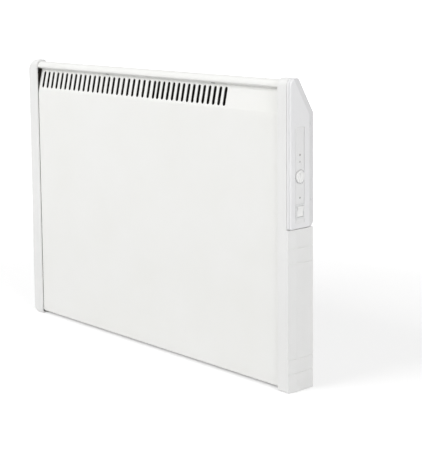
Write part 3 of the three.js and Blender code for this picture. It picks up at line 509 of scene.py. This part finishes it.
panel = made("front_panel_sheet", bm, paint)
walled(panel, sheet)
bm = bmesh.new()
below_x, below_z = panel_lo.x - overcut, panel_lo.z - overcut
verts = [bm.verts.new((x, panel_lo.y - overcut, z)) for x, z in (
    (below_x, below_z), (panel_lo.x + corner_crop, below_z),
    (below_x, panel_lo.z + corner_crop))]
pulled(bm, bm.faces.new(verts), (0, panel_flange + 2 * overcut, 0))
bmesh.ops.recalc_face_normals(bm, faces=bm.faces)
carved(panel, bm)
softened(panel, sheet_edge_round, limit=40)
fitted(panel, "heater", "white_paint", "front_panel")


# ----------------------------------------
# Rear casing
# One folded sheet: the rail over the outlet, the flat top, the slope, the back and the foot. The
# back has two hanging slots and the cord's hole, the foot has air inlets. Its inside is coloured
# dark as painted shade, so that the slots look black.
# ----------------------------------------

rail_drop = 7.9 * mm
rail_return_drop = 2.2 * mm
rail_gap = 0.3 * mm
rail_fold = 2.2 * mm
casing_fold = 2.5 * mm
casing_inset = 2.5 * mm
casing_lip = 8 * mm
wall_cut = 6 * mm
cord_hole = 12 * mm
inlet_count = 24
inlet_length = 11 * mm
inlet_width = 6 * mm
inlet_margin = 26 * mm
hanger_inset = 110 * mm
hanger_drop = 78 * mm
hanger_width = 26 * mm
hanger_tall = 8 * mm

casing_lo, casing_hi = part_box("rear_casing")
bush_lo, bush_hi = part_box("cord_inlet_bush")

# The casing's inside is coloured dark brown as painted shade.
painted_shade_inside = finish("painted_shade_inside", colour(44, 40, 36), colour(30, 28, 26), 0.75, 900, 0.0001)


def slot_cutter(x, y, z, width, length, depth, along):
    """A round-ended slot through a wall: width along X, length along Y or Z."""
    bm = bmesh.new()
    turn = Matrix.Identity(4) if along == "Y" else Matrix.Rotation(math.pi / 2, 4, "X")
    centre = Matrix.Translation((x, y, z))
    radius = min(width, length) / 2
    disc = bmesh.ops.create_circle(
        bm, cap_ends=True, segments=24, radius=radius,
        matrix=centre @ turn @ Matrix.Rotation(math.pi / 24, 4, "Z"))["verts"]
    axis = (1 if along == "Y" else 2) if length > width else 0
    middle_of_axis = (x, y, z)[axis]
    for v in disc:
        v.co[axis] += math.copysign(abs(length - width) / 2, v.co[axis] - middle_of_axis)
    step = Vector((0, 0, depth)) if along == "Y" else Vector((0, depth, 0))
    bmesh.ops.translate(bm, verts=bm.verts, vec=-step / 2)
    pulled(bm, bm.faces[:][0], step)
    bmesh.ops.recalc_face_normals(bm, faces=bm.faces)
    return bm


skin = moved_in(end_view(0), casing_inset)
rail_bottom = top - casing_inset - rail_drop
return_bottom = rail_bottom - rail_return_drop
rail_return = panel_lo.y + lean_slope * (return_bottom - lean_start) - rail_gap
section = [
    (rail_return, return_bottom - sheet / 2),
    (skin[4].x, rail_bottom - sheet / 2),
    (skin[4].x, skin[4].y),
    tuple(skin[3]),
    tuple(skin[2]),
    (skin[1].x, casing_lo.z),
    (casing_lo.y + casing_lip - casing_inset, casing_lo.z),
]
folds = [rail_fold, nose_radius - casing_inset, casing_fold, casing_fold, casing_fold]
bm = bmesh.new()
verts = [bm.verts.new((casing_lo.x, y, z)) for y, z in section]
line = [bm.edges.new(pair) for pair in zip(verts, verts[1:])]
for v in verts_of(bmesh.ops.extrude_edge_only(bm, edges=line)["geom"]):
    v.co.x = casing_hi.x
for i, radius in enumerate(folds, 1):
    into = Vector(section[i]) - Vector(section[i - 1])
    out = Vector(section[i + 1]) - Vector(section[i])
    folded(bm, *section[i], radius * math.tan(into.angle(out) / 2), 8)
faced(bm, 1)
casing = made("rear_casing_sheet", bm, paint, painted_shade_inside)
walled(casing, sheet)
# The inner wall of the sheet takes the painted shade.
casing.modifiers["wall"].material_offset = 1
inlet_pitch = (casing_hi.x - casing_lo.x - 2 * inlet_margin) / (inlet_count - 1)
inlet_middle = (front + panel_flange + back) / 2
cutters = [
    slot_cutter(casing_lo.x + inlet_margin + inlet_pitch * k, inlet_middle, casing_lo.z,
                inlet_width, inlet_length, wall_cut, "Y")
    for k in range(inlet_count)]
cutters += [
    slot_cutter(x, casing_hi.y, top - hanger_drop, hanger_width, hanger_tall, wall_cut, "Z")
    for x in (left_lo.x + hanger_inset, right_hi.x - hanger_inset)]
bush_x, bush_z = (bush_lo.x + bush_hi.x) / 2, (bush_lo.z + bush_hi.z) / 2
cutters.append(slot_cutter(bush_x, casing_hi.y, bush_z, cord_hole, cord_hole, wall_cut, "Z"))
for clip in ("left_panel_clip", "right_panel_clip"):
    clip_lo, clip_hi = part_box(clip)
    cutters.append(framed(
        clip_lo.x - fit_room, clip_hi.x + fit_room,
        (clip_lo.y - fit_room, return_bottom - 2 * sheet),
        (rail_return + sheet, rail_bottom + sheet)))
carved(casing, *cutters)
softened(casing, sheet_edge_round, limit=50)
fitted(casing, "heater", "white_paint", "rear_casing")


# ----------------------------------------
# Panel clips
# Two small dark grey spring steel clips that hook over the outlet strip's top edge and hold it
# down. Each one's front leg shows in a notch in the rail.
# ----------------------------------------

spring_steel = finish(
    "spring_steel", colour(62, 62, 64), colour(84, 84, 86), 0.42, 900, 0.00002, 60, 1,
    (1, 1, 6))


def dressed(material, *nodes):
    """Gives nodes of the frame their finish."""
    for node in nodes:
        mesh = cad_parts[node].data
        mesh.materials.clear()
        mesh.materials.append(material)


dressed(spring_steel, "left_panel_clip", "right_panel_clip")


# ----------------------------------------
# Inside of the casing
# The finned aluminium element on its steel sheathed rod, ceramic bushes in galvanised brackets,
# the heat shield, the cut-out, the terminal block, and the plates that close the ends, coloured
# dark brown as painted shade.
# ----------------------------------------

# The end plates' dark brown is painted shade.
dark_plate = finish("dark_plate", colour(58, 49, 42), colour(38, 33, 29), 0.7, 700, 0.0001, 30)
element_aluminium = finish(
    "element_aluminium", colour(178, 180, 182), colour(150, 152, 154), 0.42, 1400, 0.00005, 40, 1,
    (0.08, 1, 1))
galvanised_steel = finish(
    "galvanised_steel", colour(172, 177, 181), colour(136, 141, 146), 0.46, 260, 0.00003, 180, 1)
rod_steel = finish(
    "rod_steel", colour(150, 142, 132), colour(112, 104, 96), 0.38, 1100, 0.00003, 50, 1,
    (0.2, 1, 1))
bush_ceramic = finish(
    "bush_ceramic", colour(232, 226, 212), colour(222, 214, 198), 0.3, 800, 0.00004)
terminal_plastic = finish(
    "terminal_plastic", colour(228, 225, 214), colour(220, 216, 203), 0.48, 1200, 0.00005)

dressed(dark_plate, "left_end_plate", "right_end_plate")
dressed(element_aluminium, "heating_element", "heat_shield")
dressed(galvanised_steel, "left_element_bracket", "right_element_bracket")
dressed(rod_steel, "heating_rod", "thermal_cutout")
dressed(bush_ceramic, "left_element_bush", "right_element_bush")
dressed(terminal_plastic, "terminal_block")


# ----------------------------------------
# Cord inlet bush
# A black rubber bush snapped into the casing's back, with a groove that grips the sheet and a
# bore that is left open for the mains cord.
# ----------------------------------------

bush_bore = 4.2 * mm
bush_waist = 5.7 * mm
bush_taper = 1 * mm
bush_tail = 2 * mm
bush_round = 0.4 * mm

rubber = finish("black_rubber", colour(34, 34, 35), colour(26, 26, 27), 0.78, 1900, 0.00009)

bush_outer = (bush_hi.x - bush_lo.x) / 2
bush_deep = bush_hi.y - bush_lo.y
groove_end = bush_tail + sheet + 2 * fit_room

bm = bmesh.new()
verts = [bm.verts.new((bush_x, bush_lo.y + y, bush_z + radius)) for y, radius in (
    (0, bush_bore), (0, bush_outer - bush_round), (bush_round, bush_outer),
    (bush_tail, bush_outer), (bush_tail, bush_waist), (groove_end, bush_waist),
    (groove_end, bush_outer), (bush_deep - bush_round, bush_outer - bush_taper + bush_round),
    (bush_deep, bush_outer - bush_taper), (bush_deep, bush_bore))]
half_section = bm.faces.new(verts)
bmesh.ops.spin(
    bm, geom=[half_section, *half_section.edges, *verts], cent=(bush_x, bush_lo.y, bush_z),
    axis=(0, 1, 0), angle=math.tau, steps=48, use_merge=True)
bmesh.ops.delete(bm, geom=[f for f in bm.faces if len(f.verts) > 4], context="FACES_ONLY")
bmesh.ops.remove_doubles(bm, verts=bm.verts, dist=same_place)
bmesh.ops.recalc_face_normals(bm, faces=bm.faces)
bush = made("cord_bush_rubber", bm, rubber, sharp=40)
fitted(bush, "heater", "inlet_rubber", "cord_inlet_bush")


# ----------------------------------------
# Screws
# Bright zinc plated steel with a cross recess. Four flush ones hold the end caps to the casing's
# back, three with raised heads hold the panel's foot, and four more are hidden in the housing.
# ----------------------------------------

recess_width = 0.9 * mm
recess_length = 3.4 * mm
recess_depth = 1.3 * mm
recess_foot = 0.45
head_round = 0.35 * mm
screw_edge_round = 0.08 * mm
pan_head_tall = 1.9 * mm
point_taper = 0.7 * mm

screw_zinc = finish(
    "screw_zinc", colour(198, 200, 203), colour(178, 180, 184), 0.3, 1500, 0.00002, 300, 1)


def cross_recess(centre, axis):
    """Two crossed bars with narrow feet, sunk into a screw's head along an axis."""
    bars = []
    into = Vector(axis)
    side = into.orthogonal().normalized()
    for along in (side, into.cross(side)):
        other = into.cross(along)
        bm = bmesh.new()
        turn = Matrix((along, other, into)).transposed().to_4x4()
        shape = Matrix.Diagonal((recess_length, recess_width, 2 * recess_depth, 1))
        bmesh.ops.create_cube(bm, size=1, matrix=Matrix.Translation(centre) @ turn @ shape)
        foot = [v for v in bm.verts if (v.co - Vector(centre)).dot(into) > 0]
        bmesh.ops.scale(
            bm, vec=[recess_foot] * 3, verts=foot,
            space=Matrix.Translation(-Vector(centre) - into * recess_depth))
        bmesh.ops.recalc_face_normals(bm, faces=bm.faces)
        bars.append(bm)
    return bars


def cross_screw(node, axis, profile):
    """A screw with a cross recess, turned about a node's middle from its head along an axis."""
    low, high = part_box(node)
    inward = Vector(axis)
    head = (low + high) / 2 - inward * abs((high - low).dot(inward)) / 2
    screw = made(node + "_steel", turned(profile, axis, head, 28), screw_zinc, sharp=40)
    carved(screw, *cross_recess(head, inward))
    softened(screw, screw_edge_round, limit=40, sharp=40)
    fitted(screw, "heater", "bright_steel", node)


for node in ("left_cap_screw_lower", "left_cap_screw_upper", "right_cap_screw_lower",
             "right_cap_screw_upper"):
    low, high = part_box(node)
    length = high.y - low.y
    cross_screw(node, (0, -1, 0), [
        (0, 0), (0, screw_head), (screw_head - screw_radius, screw_radius),
        (length - point_taper, screw_radius), (length, screw_radius - point_taper), (length, 0)])
for node in ("left_panel_screw", "middle_panel_screw", "right_panel_screw"):
    low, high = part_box(node)
    length = high.z - low.z
    cross_screw(node, (0, 0, 1), [
        (0, 0), (0, screw_head - 3 * head_round), (head_round, screw_head - head_round),
        (2 * head_round, screw_head), (pan_head_tall, screw_head),
        (pan_head_tall, screw_radius), (length - point_taper, screw_radius),
        (length, screw_radius - point_taper), (length, 0)])
dressed(screw_zinc, "lower_housing_screw", "upper_housing_screw", "lower_board_screw",
        "upper_board_screw")


# ----------------------------------------
# Control housing
# A white moulded cover, 2.6 mm proud of the right end cap. It has a matt bevel down its slope and
# rear, coloured a little darker as painted shade, a fine line round its side and a gap at its
# foot.
# It is hollow behind the controls, and two screws from inside the cap pull it down.
# ----------------------------------------

housing_wall = 2 * mm
housing_face_wall = 3 * mm
housing_front_radius, housing_rear_radius = 1.8 * mm, 7 * mm
housing_radii = [
    housing_front_radius, housing_rear_radius, head_radius, head_radius, nose_radius]
hollow_radius = 0.3 * mm
rear_bevel_width = 9 * mm
rear_bevel_depth = 1.6 * mm
rim_round = 1.6 * mm
ridge_round = 0.4 * mm
seam = 0.25 * mm
seam_round = 0.7 * mm
foot_rise = 0.8 * mm
line_from_face = 2.4 * mm
line_width = 0.7 * mm
line_depth = 0.8 * mm
strip_recess = 1.5 * mm
strip_corner = 2 * mm
strip_room = 0.05 * mm
notch_tall, notch_wide, notch_depth = 2.4 * mm, 2 * mm, 1.2 * mm
notch_rises = [33.5 * mm, 120.8 * mm]
notch_inset = 8 * mm

strip_lo, strip_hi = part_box("control_fascia")
knob_lo, knob_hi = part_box("thermostat_knob")
rocker_lo, rocker_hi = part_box("rocker_body")
control_line = (knob_lo.y + knob_hi.y) / 2
knob_height = (knob_lo.z + knob_hi.z) / 2
rocker_height = (rocker_lo.z + rocker_hi.z) / 2
lamp_nodes = ["power_lamp_lens", "standby_lamp_lens", "heat_lamp_lens"]
hub_radius = 4.4 * mm
hub_room = 0.4 * mm
lamp_radius = 1.3 * mm
rocker_flange = 0.9 * mm
facing, flat_facing, sideways = 0.9, 0.9999, 0.1

housing_plastic = finish(
    "housing_plastic", colour(236, 236, 237), colour(233, 233, 234), 0.4, 2400, 0.00005)
# The bevel's plastic is matt, and its darker colour is painted shade.
bevel_painted_shade = finish(
    "bevel_painted_shade", colour(227, 227, 228), colour(223, 223, 224), 0.6, 1800, 0.00008)


def bored(x0, x1, z, radius, steps=40):
    """A round bore along X on the line of the controls."""
    return turned(
        [(0, 0), (0, radius), (x1 - x0, radius), (x1 - x0, 0)], (1, 0, 0), (x0, control_line, z),
        steps)


def control_holes(x0, x1, room, lamp_room):
    """Cutters for the knob's hub, the lamps and the rocker, with room round the last two."""
    holes = [bored(x0, x1, knob_height, hub_radius + hub_room)]
    for node in lamp_nodes:
        low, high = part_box(node)
        holes.append(bored(x0, x1, (low.z + high.z) / 2, lamp_radius + lamp_room, 24))
    holes.append(framed(
        x0, x1, (rocker_lo.y + rocker_flange - room, rocker_lo.z + rocker_flange - room),
        (rocker_hi.y - rocker_flange + room, rocker_hi.z - rocker_flange + room)))
    return holes


bm = bmesh.new()
outline = end_view(pod_lo.z + foot_rise)
inner = rounded_face(bm, outline, housing_radii, pod_inner - fit_room + seam, 16)
inner_edges = inner.edges[:]
pulled(bm, inner, (pod_hi.x - pod_inner + fit_room - seam, 0, 0))
bmesh.ops.recalc_face_normals(bm, faces=bm.faces)
bmesh.ops.bevel(
    bm, geom=inner_edges, offset=seam_round, affect="EDGES", segments=3, profile=0.5,
    material=-1)
# The faces that close the bevels take the second material: matt plastic with painted shade.
for corner, following in ((1, 2), (2, 3)):
    side = (Vector(outline[following]) - Vector(outline[corner])).normalized()
    away = Vector((side.y, -side.x))
    slice_normal = Vector(
        (rear_bevel_width, away.x * rear_bevel_depth, away.y * rear_bevel_depth))
    cut = bmesh.ops.bisect_plane(
        bm, geom=[*bm.faces, *bm.edges, *bm.verts],
        plane_co=(pod_hi.x - rear_bevel_depth, *outline[corner]), plane_no=slice_normal,
        clear_outer=True)["geom_cut"]
    bmesh.ops.edgeloop_fill(bm, edges=edges_of(cut), mat_nr=1)
bmesh.ops.recalc_face_normals(bm, faces=bm.faces)
# The edges between the bevels and the face are rounded first, then the rim round both.
ridges = [e for e in bm.edges if all(f.normal.x > facing for f in e.link_faces)
          and any(f.normal.x > flat_facing for f in e.link_faces)]
bmesh.ops.bevel(
    bm, geom=ridges, offset=ridge_round, affect="EDGES", segments=2, profile=0.5, material=-1)
rim = [e for e in bm.edges if any(f.normal.x > facing for f in e.link_faces)
       and any(abs(f.normal.x) < sideways for f in e.link_faces)]
bmesh.ops.bevel(
    bm, geom=rim, offset=rim_round, affect="EDGES", segments=6, profile=0.5, material=-1)
housing = made("control_housing_shell", bm, housing_plastic, bevel_painted_shade)


def housing_core(inset, least, x0, x1, segments=12):
    """A block with the housing's outline moved in by an inset, its corners kept round."""
    return slab([tuple(corner) for corner in moved_in(outline, inset)],
                [max(radius - inset, least) for radius in housing_radii], x0, x1, segments)


beyond = pod_hi.x + overcut
line_start = pod_hi.x - line_from_face
cutters = [housing_core(
    housing_wall, hollow_radius, pod_inner - overcut, pod_hi.x - housing_face_wall)]
cutters.append(framed(
    pod_hi.x - strip_recess, beyond, (strip_lo.y - strip_room, strip_lo.z - strip_room),
    (strip_hi.y + fit_room, strip_hi.z + strip_room), strip_corner))
line_ring = made(
    "line_ring", housing_core(-overcut, least_radius, line_start - line_width, line_start, 16))
carved(line_ring, housing_core(
    line_depth, least_radius, line_start - 2 * line_width, line_start + line_width, 16))
line_cutter = bmesh.new()
line_cutter.from_mesh(line_ring.data)
bpy.data.objects.remove(line_ring)
cutters.append(line_cutter)
notch_line = back - notch_inset
for rise in notch_rises:
    cutters.append(framed(
        pod_hi.x - notch_depth, beyond,
        (notch_line - notch_wide / 2, pod_lo.z + rise - notch_tall / 2),
        (notch_line + notch_wide / 2, pod_lo.z + rise + notch_tall / 2)))
cutters += control_holes(pod_hi.x - housing_face_wall - overcut, beyond, fit_room, fit_room)
carved(housing, *cutters)
flat_lit(housing, 30)
fitted(housing, "heater", "housing_plastic", "control_housing")


# ----------------------------------------
# Label strip
# A plain pale plastic strip let into the housing's face and a little proud of it. The lamps and
# the rocker come through it, and the knob sits low in a round well.
# ----------------------------------------

strip_gap = 0.6 * mm
lamp_room = 0.06 * mm
knob_well_radius = 8.7 * mm
well_web = 0.3 * mm
strip_proud = 0.35 * mm
strip_edge_round = 0.12 * mm
flange_thick = 1 * mm
flange_room = 0.1 * mm
flange_seat_corner = 1.3 * mm

strip_film = finish(
    "strip_film", colour(235, 235, 235), colour(232, 232, 232), 0.5, 3200, 0.00003)

strip_face = pod_hi.x + strip_proud
bm = framed(
    strip_lo.x, strip_face, (strip_lo.y, strip_lo.z), (strip_hi.y - strip_gap, strip_hi.z),
    strip_corner - fit_room)
strip = made("label_strip", bm, strip_film)
knob_well = bored(
    strip_lo.x + well_web, strip_face + overcut, knob_height, knob_well_radius, 56)
flange_seat = framed(
    rocker_hi.x - flange_thick, strip_face + overcut,
    (rocker_lo.y - flange_room, rocker_lo.z - flange_room),
    (rocker_hi.y + flange_room, rocker_hi.z + flange_room), flange_seat_corner)
carved(strip, *control_holes(strip_lo.x - overcut, strip_face + overcut, fit_room, lamp_room),
       knob_well, flange_seat)
softened(strip, strip_edge_round, limit=40)
fitted(strip, "heater", "pale_plastic", "control_fascia")


# ----------------------------------------
# Thermostat knob
# A low white moulded disc on a hub. Two dips leave a bar across it to grip, and a fine groove on
# the bar points to the setting. It turns on the potentiometer's spindle.
# ----------------------------------------

knob_round = 0.8 * mm
knob_back_round = 0.3 * mm
knob_edge_round = 0.15 * mm
knob_room = 0.4 * mm
knob_sink = 0.7 * mm
grip_width = 3.4 * mm
grip_dip = 0.9 * mm
grip_rim = 1.2 * mm
pointer_width, pointer_depth, pointer_start = 1.1 * mm, 0.4 * mm, 2.1 * mm

knob_plastic = finish(
    "knob_plastic", colour(245, 245, 244), colour(242, 242, 241), 0.36, 2600, 0.00004)

knob_radius = (knob_hi.z - knob_lo.z) / 2
knob_face = knob_hi.x - knob_sink
knob_deep = knob_face - knob_lo.x
skirt = strip_lo.x + well_web + knob_room - knob_lo.x
quarter_arc = [math.radians(15 * k) for k in range(7)]
profile = [(0, 0), (0, hub_radius), (skirt, hub_radius), (skirt, knob_radius - knob_back_round),
           (skirt + knob_back_round, knob_radius)]
profile += [(knob_deep - knob_round * (1 - math.sin(angle)),
             knob_radius - knob_round * (1 - math.cos(angle))) for angle in quarter_arc]
profile.append((knob_deep, 0))
knob = made(
    "thermostat_knob_disc",
    turned(profile, (1, 0, 0), (knob_lo.x, control_line, knob_height), 72), knob_plastic)

cutters = []
for side in (-1, 1):
    dip = bored(
        knob_face - grip_dip, knob_face + overcut, knob_height, knob_radius - grip_rim, 48)
    cut = bmesh.ops.bisect_plane(
        dip, geom=[*dip.faces, *dip.edges, *dip.verts],
        plane_co=(0, control_line + side * grip_width / 2, 0), plane_no=(0, -side, 0),
        clear_outer=True)["geom_cut"]
    bmesh.ops.edgeloop_fill(dip, edges=edges_of(cut))
    bmesh.ops.recalc_face_normals(dip, faces=dip.faces)
    cutters.append(dip)
cutters.append(framed(
    knob_face - pointer_depth, knob_face + overcut,
    (control_line - pointer_width / 2, knob_height + pointer_start),
    (control_line + pointer_width / 2, knob_height + knob_radius + overcut)))
carved(knob, *cutters)
softened(knob, knob_edge_round, segments=3, limit=40, clamp=False)
fitted(knob, "thermostat_dial", "white_plastic", "thermostat_knob")


# ----------------------------------------
# Indicator lamps
# Three small domed lenses on the line of the controls, unlit because the heater is off. One is
# below the knob and two are above it.
# ----------------------------------------

lens_flange = 2 * mm
lens_flange_thick = 1 * mm
lens_shade = 0.8
lens_coat = 0.6
lens_slots = ["lamp_green", "lamp_clear", "lamp_red"]
lens_colours = [colour(186, 190, 186), colour(208, 209, 208), colour(192, 187, 185)]

for node, slot, tint in zip(lamp_nodes, lens_slots, lens_colours):
    low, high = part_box(node)
    deep = high.x + strip_proud - low.x
    dome = high.x - strip_hi.x
    shade = (*[lens_shade * value for value in tint[:3]], 1)
    lens_plastic = finish(node + "_plastic", tint, shade, 0.2, 900, 0.00002, 400)
    coat = lens_plastic.node_tree.nodes["Principled BSDF"].inputs["Coat Weight"]
    coat.default_value = lens_coat
    profile = [(0, 0), (0, lens_flange), (lens_flange_thick, lens_flange),
               (lens_flange_thick, lamp_radius)]
    profile += [(deep - dome * (1 - math.sin(angle)), lamp_radius * math.cos(angle))
                for angle in quarter_arc]
    lens = made(
        node + "_dome",
        turned(profile, (1, 0, 0), (low.x, control_line, (low.z + high.z) / 2), 32), lens_plastic)
    fitted(lens, "heater", slot, node)


# ----------------------------------------
# Rocker switch
# A snap-in switch frame with a narrow flange, and a dished key that rocks on a steel pin in it.
# The key's ends are curved about the pin, and it rests with its lower half pressed in.
# ----------------------------------------

flange_corner = 1.2 * mm
frame_wall = 1 * mm
frame_edge_round = 0.2 * mm
well_floor = 2 * mm
well_half = 7.5 * mm
mouth_half = 6.6 * mm
key_width = 9.6 * mm
key_sweep = 7.3 * mm
key_depth = 4.9 * mm
key_tilt = 8
key_dish = 1 * mm
key_dish_round = 2.5 * mm
key_edge_round = 0.25 * mm
key_tip = 0.5 * mm
key_shoulder = 1.5 * mm
key_heel, key_heel_half = 2.2 * mm, 1.8 * mm
pin_radius = 0.8 * mm
pin_bore_length = 20 * mm

switch_plastic = finish(
    "switch_plastic", colour(229, 230, 230), colour(225, 226, 226), 0.42, 2200, 0.00004)
key_plastic = finish(
    "key_plastic", colour(246, 246, 245), colour(243, 243, 242), 0.34, 2600, 0.00003)

pin_lo, pin_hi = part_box("rocker_pin")
pivot_x = (pin_lo.x + pin_hi.x) / 2
barrel = (rocker_lo.y + rocker_flange, rocker_lo.z + rocker_flange)
barrel_end = (rocker_hi.y - rocker_flange, rocker_hi.z - rocker_flange)
rocker_frame = made(
    "rocker_frame",
    framed(rocker_hi.x - flange_thick, rocker_hi.x, (rocker_lo.y, rocker_lo.z),
           (rocker_hi.y, rocker_hi.z), flange_corner), switch_plastic)
barrel_block = made("barrel", framed(rocker_lo.x, rocker_hi.x, barrel, barrel_end))
union = rocker_frame.modifiers.new("barrel", "BOOLEAN")
union.operation = "UNION"
union.solver = "MANIFOLD"
union.object = barrel_block
settled(rocker_frame)
bpy.data.objects.remove(barrel_block)
well, well_end = barrel[0] + frame_wall, barrel_end[0] - frame_wall


def pin_bore():
    """A bore with a little room for the rocker's pin, along Y."""
    radius = pin_radius + fit_room
    return turned(
        [(0, 0), (0, radius), (pin_bore_length, radius), (pin_bore_length, 0)], (0, 1, 0),
        (pivot_x, control_line - pin_bore_length / 2, rocker_height), 20)


carved(
    rocker_frame,
    framed(rocker_hi.x - 2 * flange_thick, rocker_hi.x + overcut,
           (well, rocker_height - mouth_half), (well_end, rocker_height + mouth_half)),
    framed(rocker_lo.x + well_floor, rocker_hi.x - flange_thick,
           (well, rocker_height - well_half), (well_end, rocker_height + well_half)), pin_bore())
softened(rocker_frame, frame_edge_round, segments=3, limit=40)
fitted(rocker_frame, "heater", "pale_plastic", "rocker_body")

bm = bmesh.new()
end_arc = [
    (x, math.sqrt(key_sweep ** 2 - x ** 2)) for x in (
        key_shoulder + (key_depth - key_tip - key_shoulder) * k / 5 for k in range(6))]
tip = end_arc[-1][1] - key_tip
corners = [(-key_heel, -key_heel_half), (-key_heel, key_heel_half), *end_arc, (key_depth, tip),
           (key_depth - key_dish, 0), (key_depth, -tip), *[(x, -z) for x, z in end_arc[::-1]]]
verts = [bm.verts.new((x, -key_width / 2, z)) for x, z in corners]
pulled(bm, bm.faces.new(verts), (0, key_width, 0))
bmesh.ops.recalc_face_normals(bm, faces=bm.faces)
middle_line = [e for e in bm.edges if all(
    abs(v.co.x - key_depth + key_dish) < same_place and abs(v.co.z) < same_place
    for v in e.verts)]
bmesh.ops.bevel(
    bm, geom=middle_line, offset=key_dish_round, affect="EDGES", segments=8, profile=0.5,
    material=-1)
bmesh.ops.rotate(
    bm, cent=(0, 0, 0), matrix=Matrix.Rotation(math.radians(key_tilt), 3, "Y"), verts=bm.verts)
bmesh.ops.translate(bm, vec=(pivot_x, control_line, rocker_height), verts=bm.verts)
key = made("rocker_key_dished", bm, key_plastic)
carved(key, pin_bore())
softened(key, key_edge_round, segments=3)
fitted(key, "switch_key", "white_plastic", "rocker_key")
dressed(screw_zinc, "rocker_pin")


# ----------------------------------------
# Behind the controls
# The nylon spindle in the thermostat's black potentiometer, and the laminate board with its
# relay, on two bosses inside the housing.
# ----------------------------------------

spindle_nylon = finish(
    "spindle_nylon", colour(224, 224, 218), colour(214, 214, 207), 0.46, 1500, 0.00004)
black_plastic = finish(
    "black_plastic", colour(33, 33, 35), colour(26, 26, 28), 0.5, 1600, 0.00005)
board_laminate = finish(
    "board_laminate", colour(52, 104, 66), colour(40, 86, 54), 0.44, 900, 0.00003, 120, 0,
    (1, 8, 1))

dressed(spindle_nylon, "knob_spindle")
dressed(black_plastic, "thermostat_potentiometer", "control_relay")
dressed(board_laminate, "control_board")


# ----------------------------------------
# Camera, floor and light
# The photograph's own viewing angle, and a pale floor that whitens away from the heater and keeps
# its shadow. The key light is high in front on the left, with a fill from the right and a weak
# light behind, in an even white surround.
# ----------------------------------------

photo_width, photo_height = 422, 465
photo_focal = 1233.3
photo_middle_x, photo_middle_y = 211, 120
camera_place = Vector((1.2145, -1.035, 0.4858))
yaw, pitch, roll = (math.radians(angle) for angle in (47.03, 6.64, 0.5))
floor_tone = 0.65
floor_half = 40
near_glow, near_reach, far_reach = 0.415, 0.55, 1.6
shade_start, shade_end = 17 * mm, 8 * mm
surround_level = 0.5
light_aim = (0, 0, 0.15)

forward = Vector(
    (-math.sin(yaw) * math.cos(pitch), math.cos(yaw) * math.cos(pitch), -math.sin(pitch)))
level = Vector((math.cos(yaw), math.sin(yaw), 0))
below = forward.cross(level)
across = level * math.cos(roll) + below * math.sin(roll)
down = below * math.cos(roll) - level * math.sin(roll)
turn = Matrix((across, -down, -forward)).transposed()
view = bpy.data.cameras.new("camera")
view.sensor_width = 36
view.lens = photo_focal / photo_height * view.sensor_width
view.shift_x = (photo_width / 2 - photo_middle_x) / photo_height
view.shift_y = (photo_middle_y - photo_height / 2) / photo_height
view.clip_start, view.clip_end = 0.05, 100
camera = bpy.data.objects.new("camera", view)
camera.matrix_world = Matrix.Translation(camera_place) @ turn.to_4x4()
bpy.context.scene.collection.objects.link(camera)
bpy.context.scene.camera = camera


def worked(nodes, links, operation, *values):
    """The result of a Math node on one or two values."""
    step = nodes.new("ShaderNodeMath")
    step.operation = operation
    for value, socket in zip(values, step.inputs):
        links.new(value, socket)
    return step.outputs["Value"]


floor_paper = bpy.data.materials.new("floor_paper")
floor_paper.use_nodes = True
nodes, links = floor_paper.node_tree.nodes, floor_paper.node_tree.links
paper = nodes["Principled BSDF"]
paper.inputs["Base Color"].default_value = (floor_tone, floor_tone, floor_tone, 1)
paper.inputs["Roughness"].default_value = 0.9
rays = nodes.new("ShaderNodeLightPath").outputs
seen = worked(nodes, links, "MAXIMUM", rays["Is Camera Ray"], rays["Is Glossy Ray"])
place = nodes.new("ShaderNodeTexCoord")
away = nodes.new("ShaderNodeVectorMath")
away.operation = "LENGTH"
links.new(place.outputs["Object"], away.inputs[0])
whiter = between(
    nodes, links, away.outputs["Value"], near_glow, 1, start=near_reach, end=far_reach)
lift = worked(nodes, links, "MULTIPLY", seen, whiter)
# Under the heater the floor isn't whitened, so that it stays dark there.
sides = nodes.new("ShaderNodeSeparateXYZ")
links.new(place.outputs["Object"], sides.inputs["Vector"])
open_sides = []
for axis, half in (("X", right_hi.x), ("Y", back)):
    spread = worked(nodes, links, "ABSOLUTE", sides.outputs[axis])
    open_sides.append(between(
        nodes, links, spread, 0, 1, start=half - shade_start, end=half - shade_end))
open_floor = worked(nodes, links, "MAXIMUM", *open_sides)
glow = worked(nodes, links, "MULTIPLY", lift, open_floor)
paper.inputs["Emission Color"].default_value = (1, 1, 1, 1)
links.new(glow, paper.inputs["Emission Strength"])
bm = bmesh.new()
bmesh.ops.create_grid(bm, x_segments=1, y_segments=1, size=floor_half)
floor = made("floor", bm, floor_paper)

world = bpy.data.worlds.new("surround")
bpy.context.scene.world = world
world.use_nodes = True
nodes, links = world.node_tree.nodes, world.node_tree.links
surround = nodes["Background"]
surround.inputs["Color"].default_value = (1, 1, 1, 1)
rays = nodes.new("ShaderNodeLightPath").outputs
seen = worked(nodes, links, "MAXIMUM", rays["Is Camera Ray"], rays["Is Transmission Ray"])
seen = worked(nodes, links, "MAXIMUM", seen, rays["Is Glossy Ray"])
strength = between(nodes, links, seen, surround_level, 1, start=0, end=1)
links.new(strength, surround.inputs["Strength"])


def soft_light(name, place, size, power):
    """A square soft light at a place, turned towards the heater."""
    lamp = bpy.data.lights.new(name, "AREA")
    lamp.shape = "SQUARE"
    lamp.size = size
    lamp.energy = power
    light = bpy.data.objects.new(name, lamp)
    towards = (Vector(light_aim) - Vector(place)).to_track_quat("-Z", "Y")
    light.matrix_world = Matrix.Translation(place) @ towards.to_matrix().to_4x4()
    bpy.context.scene.collection.objects.link(light)


soft_light("key_light", (-0.75, -2.55, 2.35), 1.7, 55)
soft_light("back_light", (-1.2, 3, 1.2), 1.5, 16)
soft_light("fill_light", (3.3, -0.75, 1.5), 1.5, 41)

bpy.context.scene.view_settings.view_transform = "Standard"
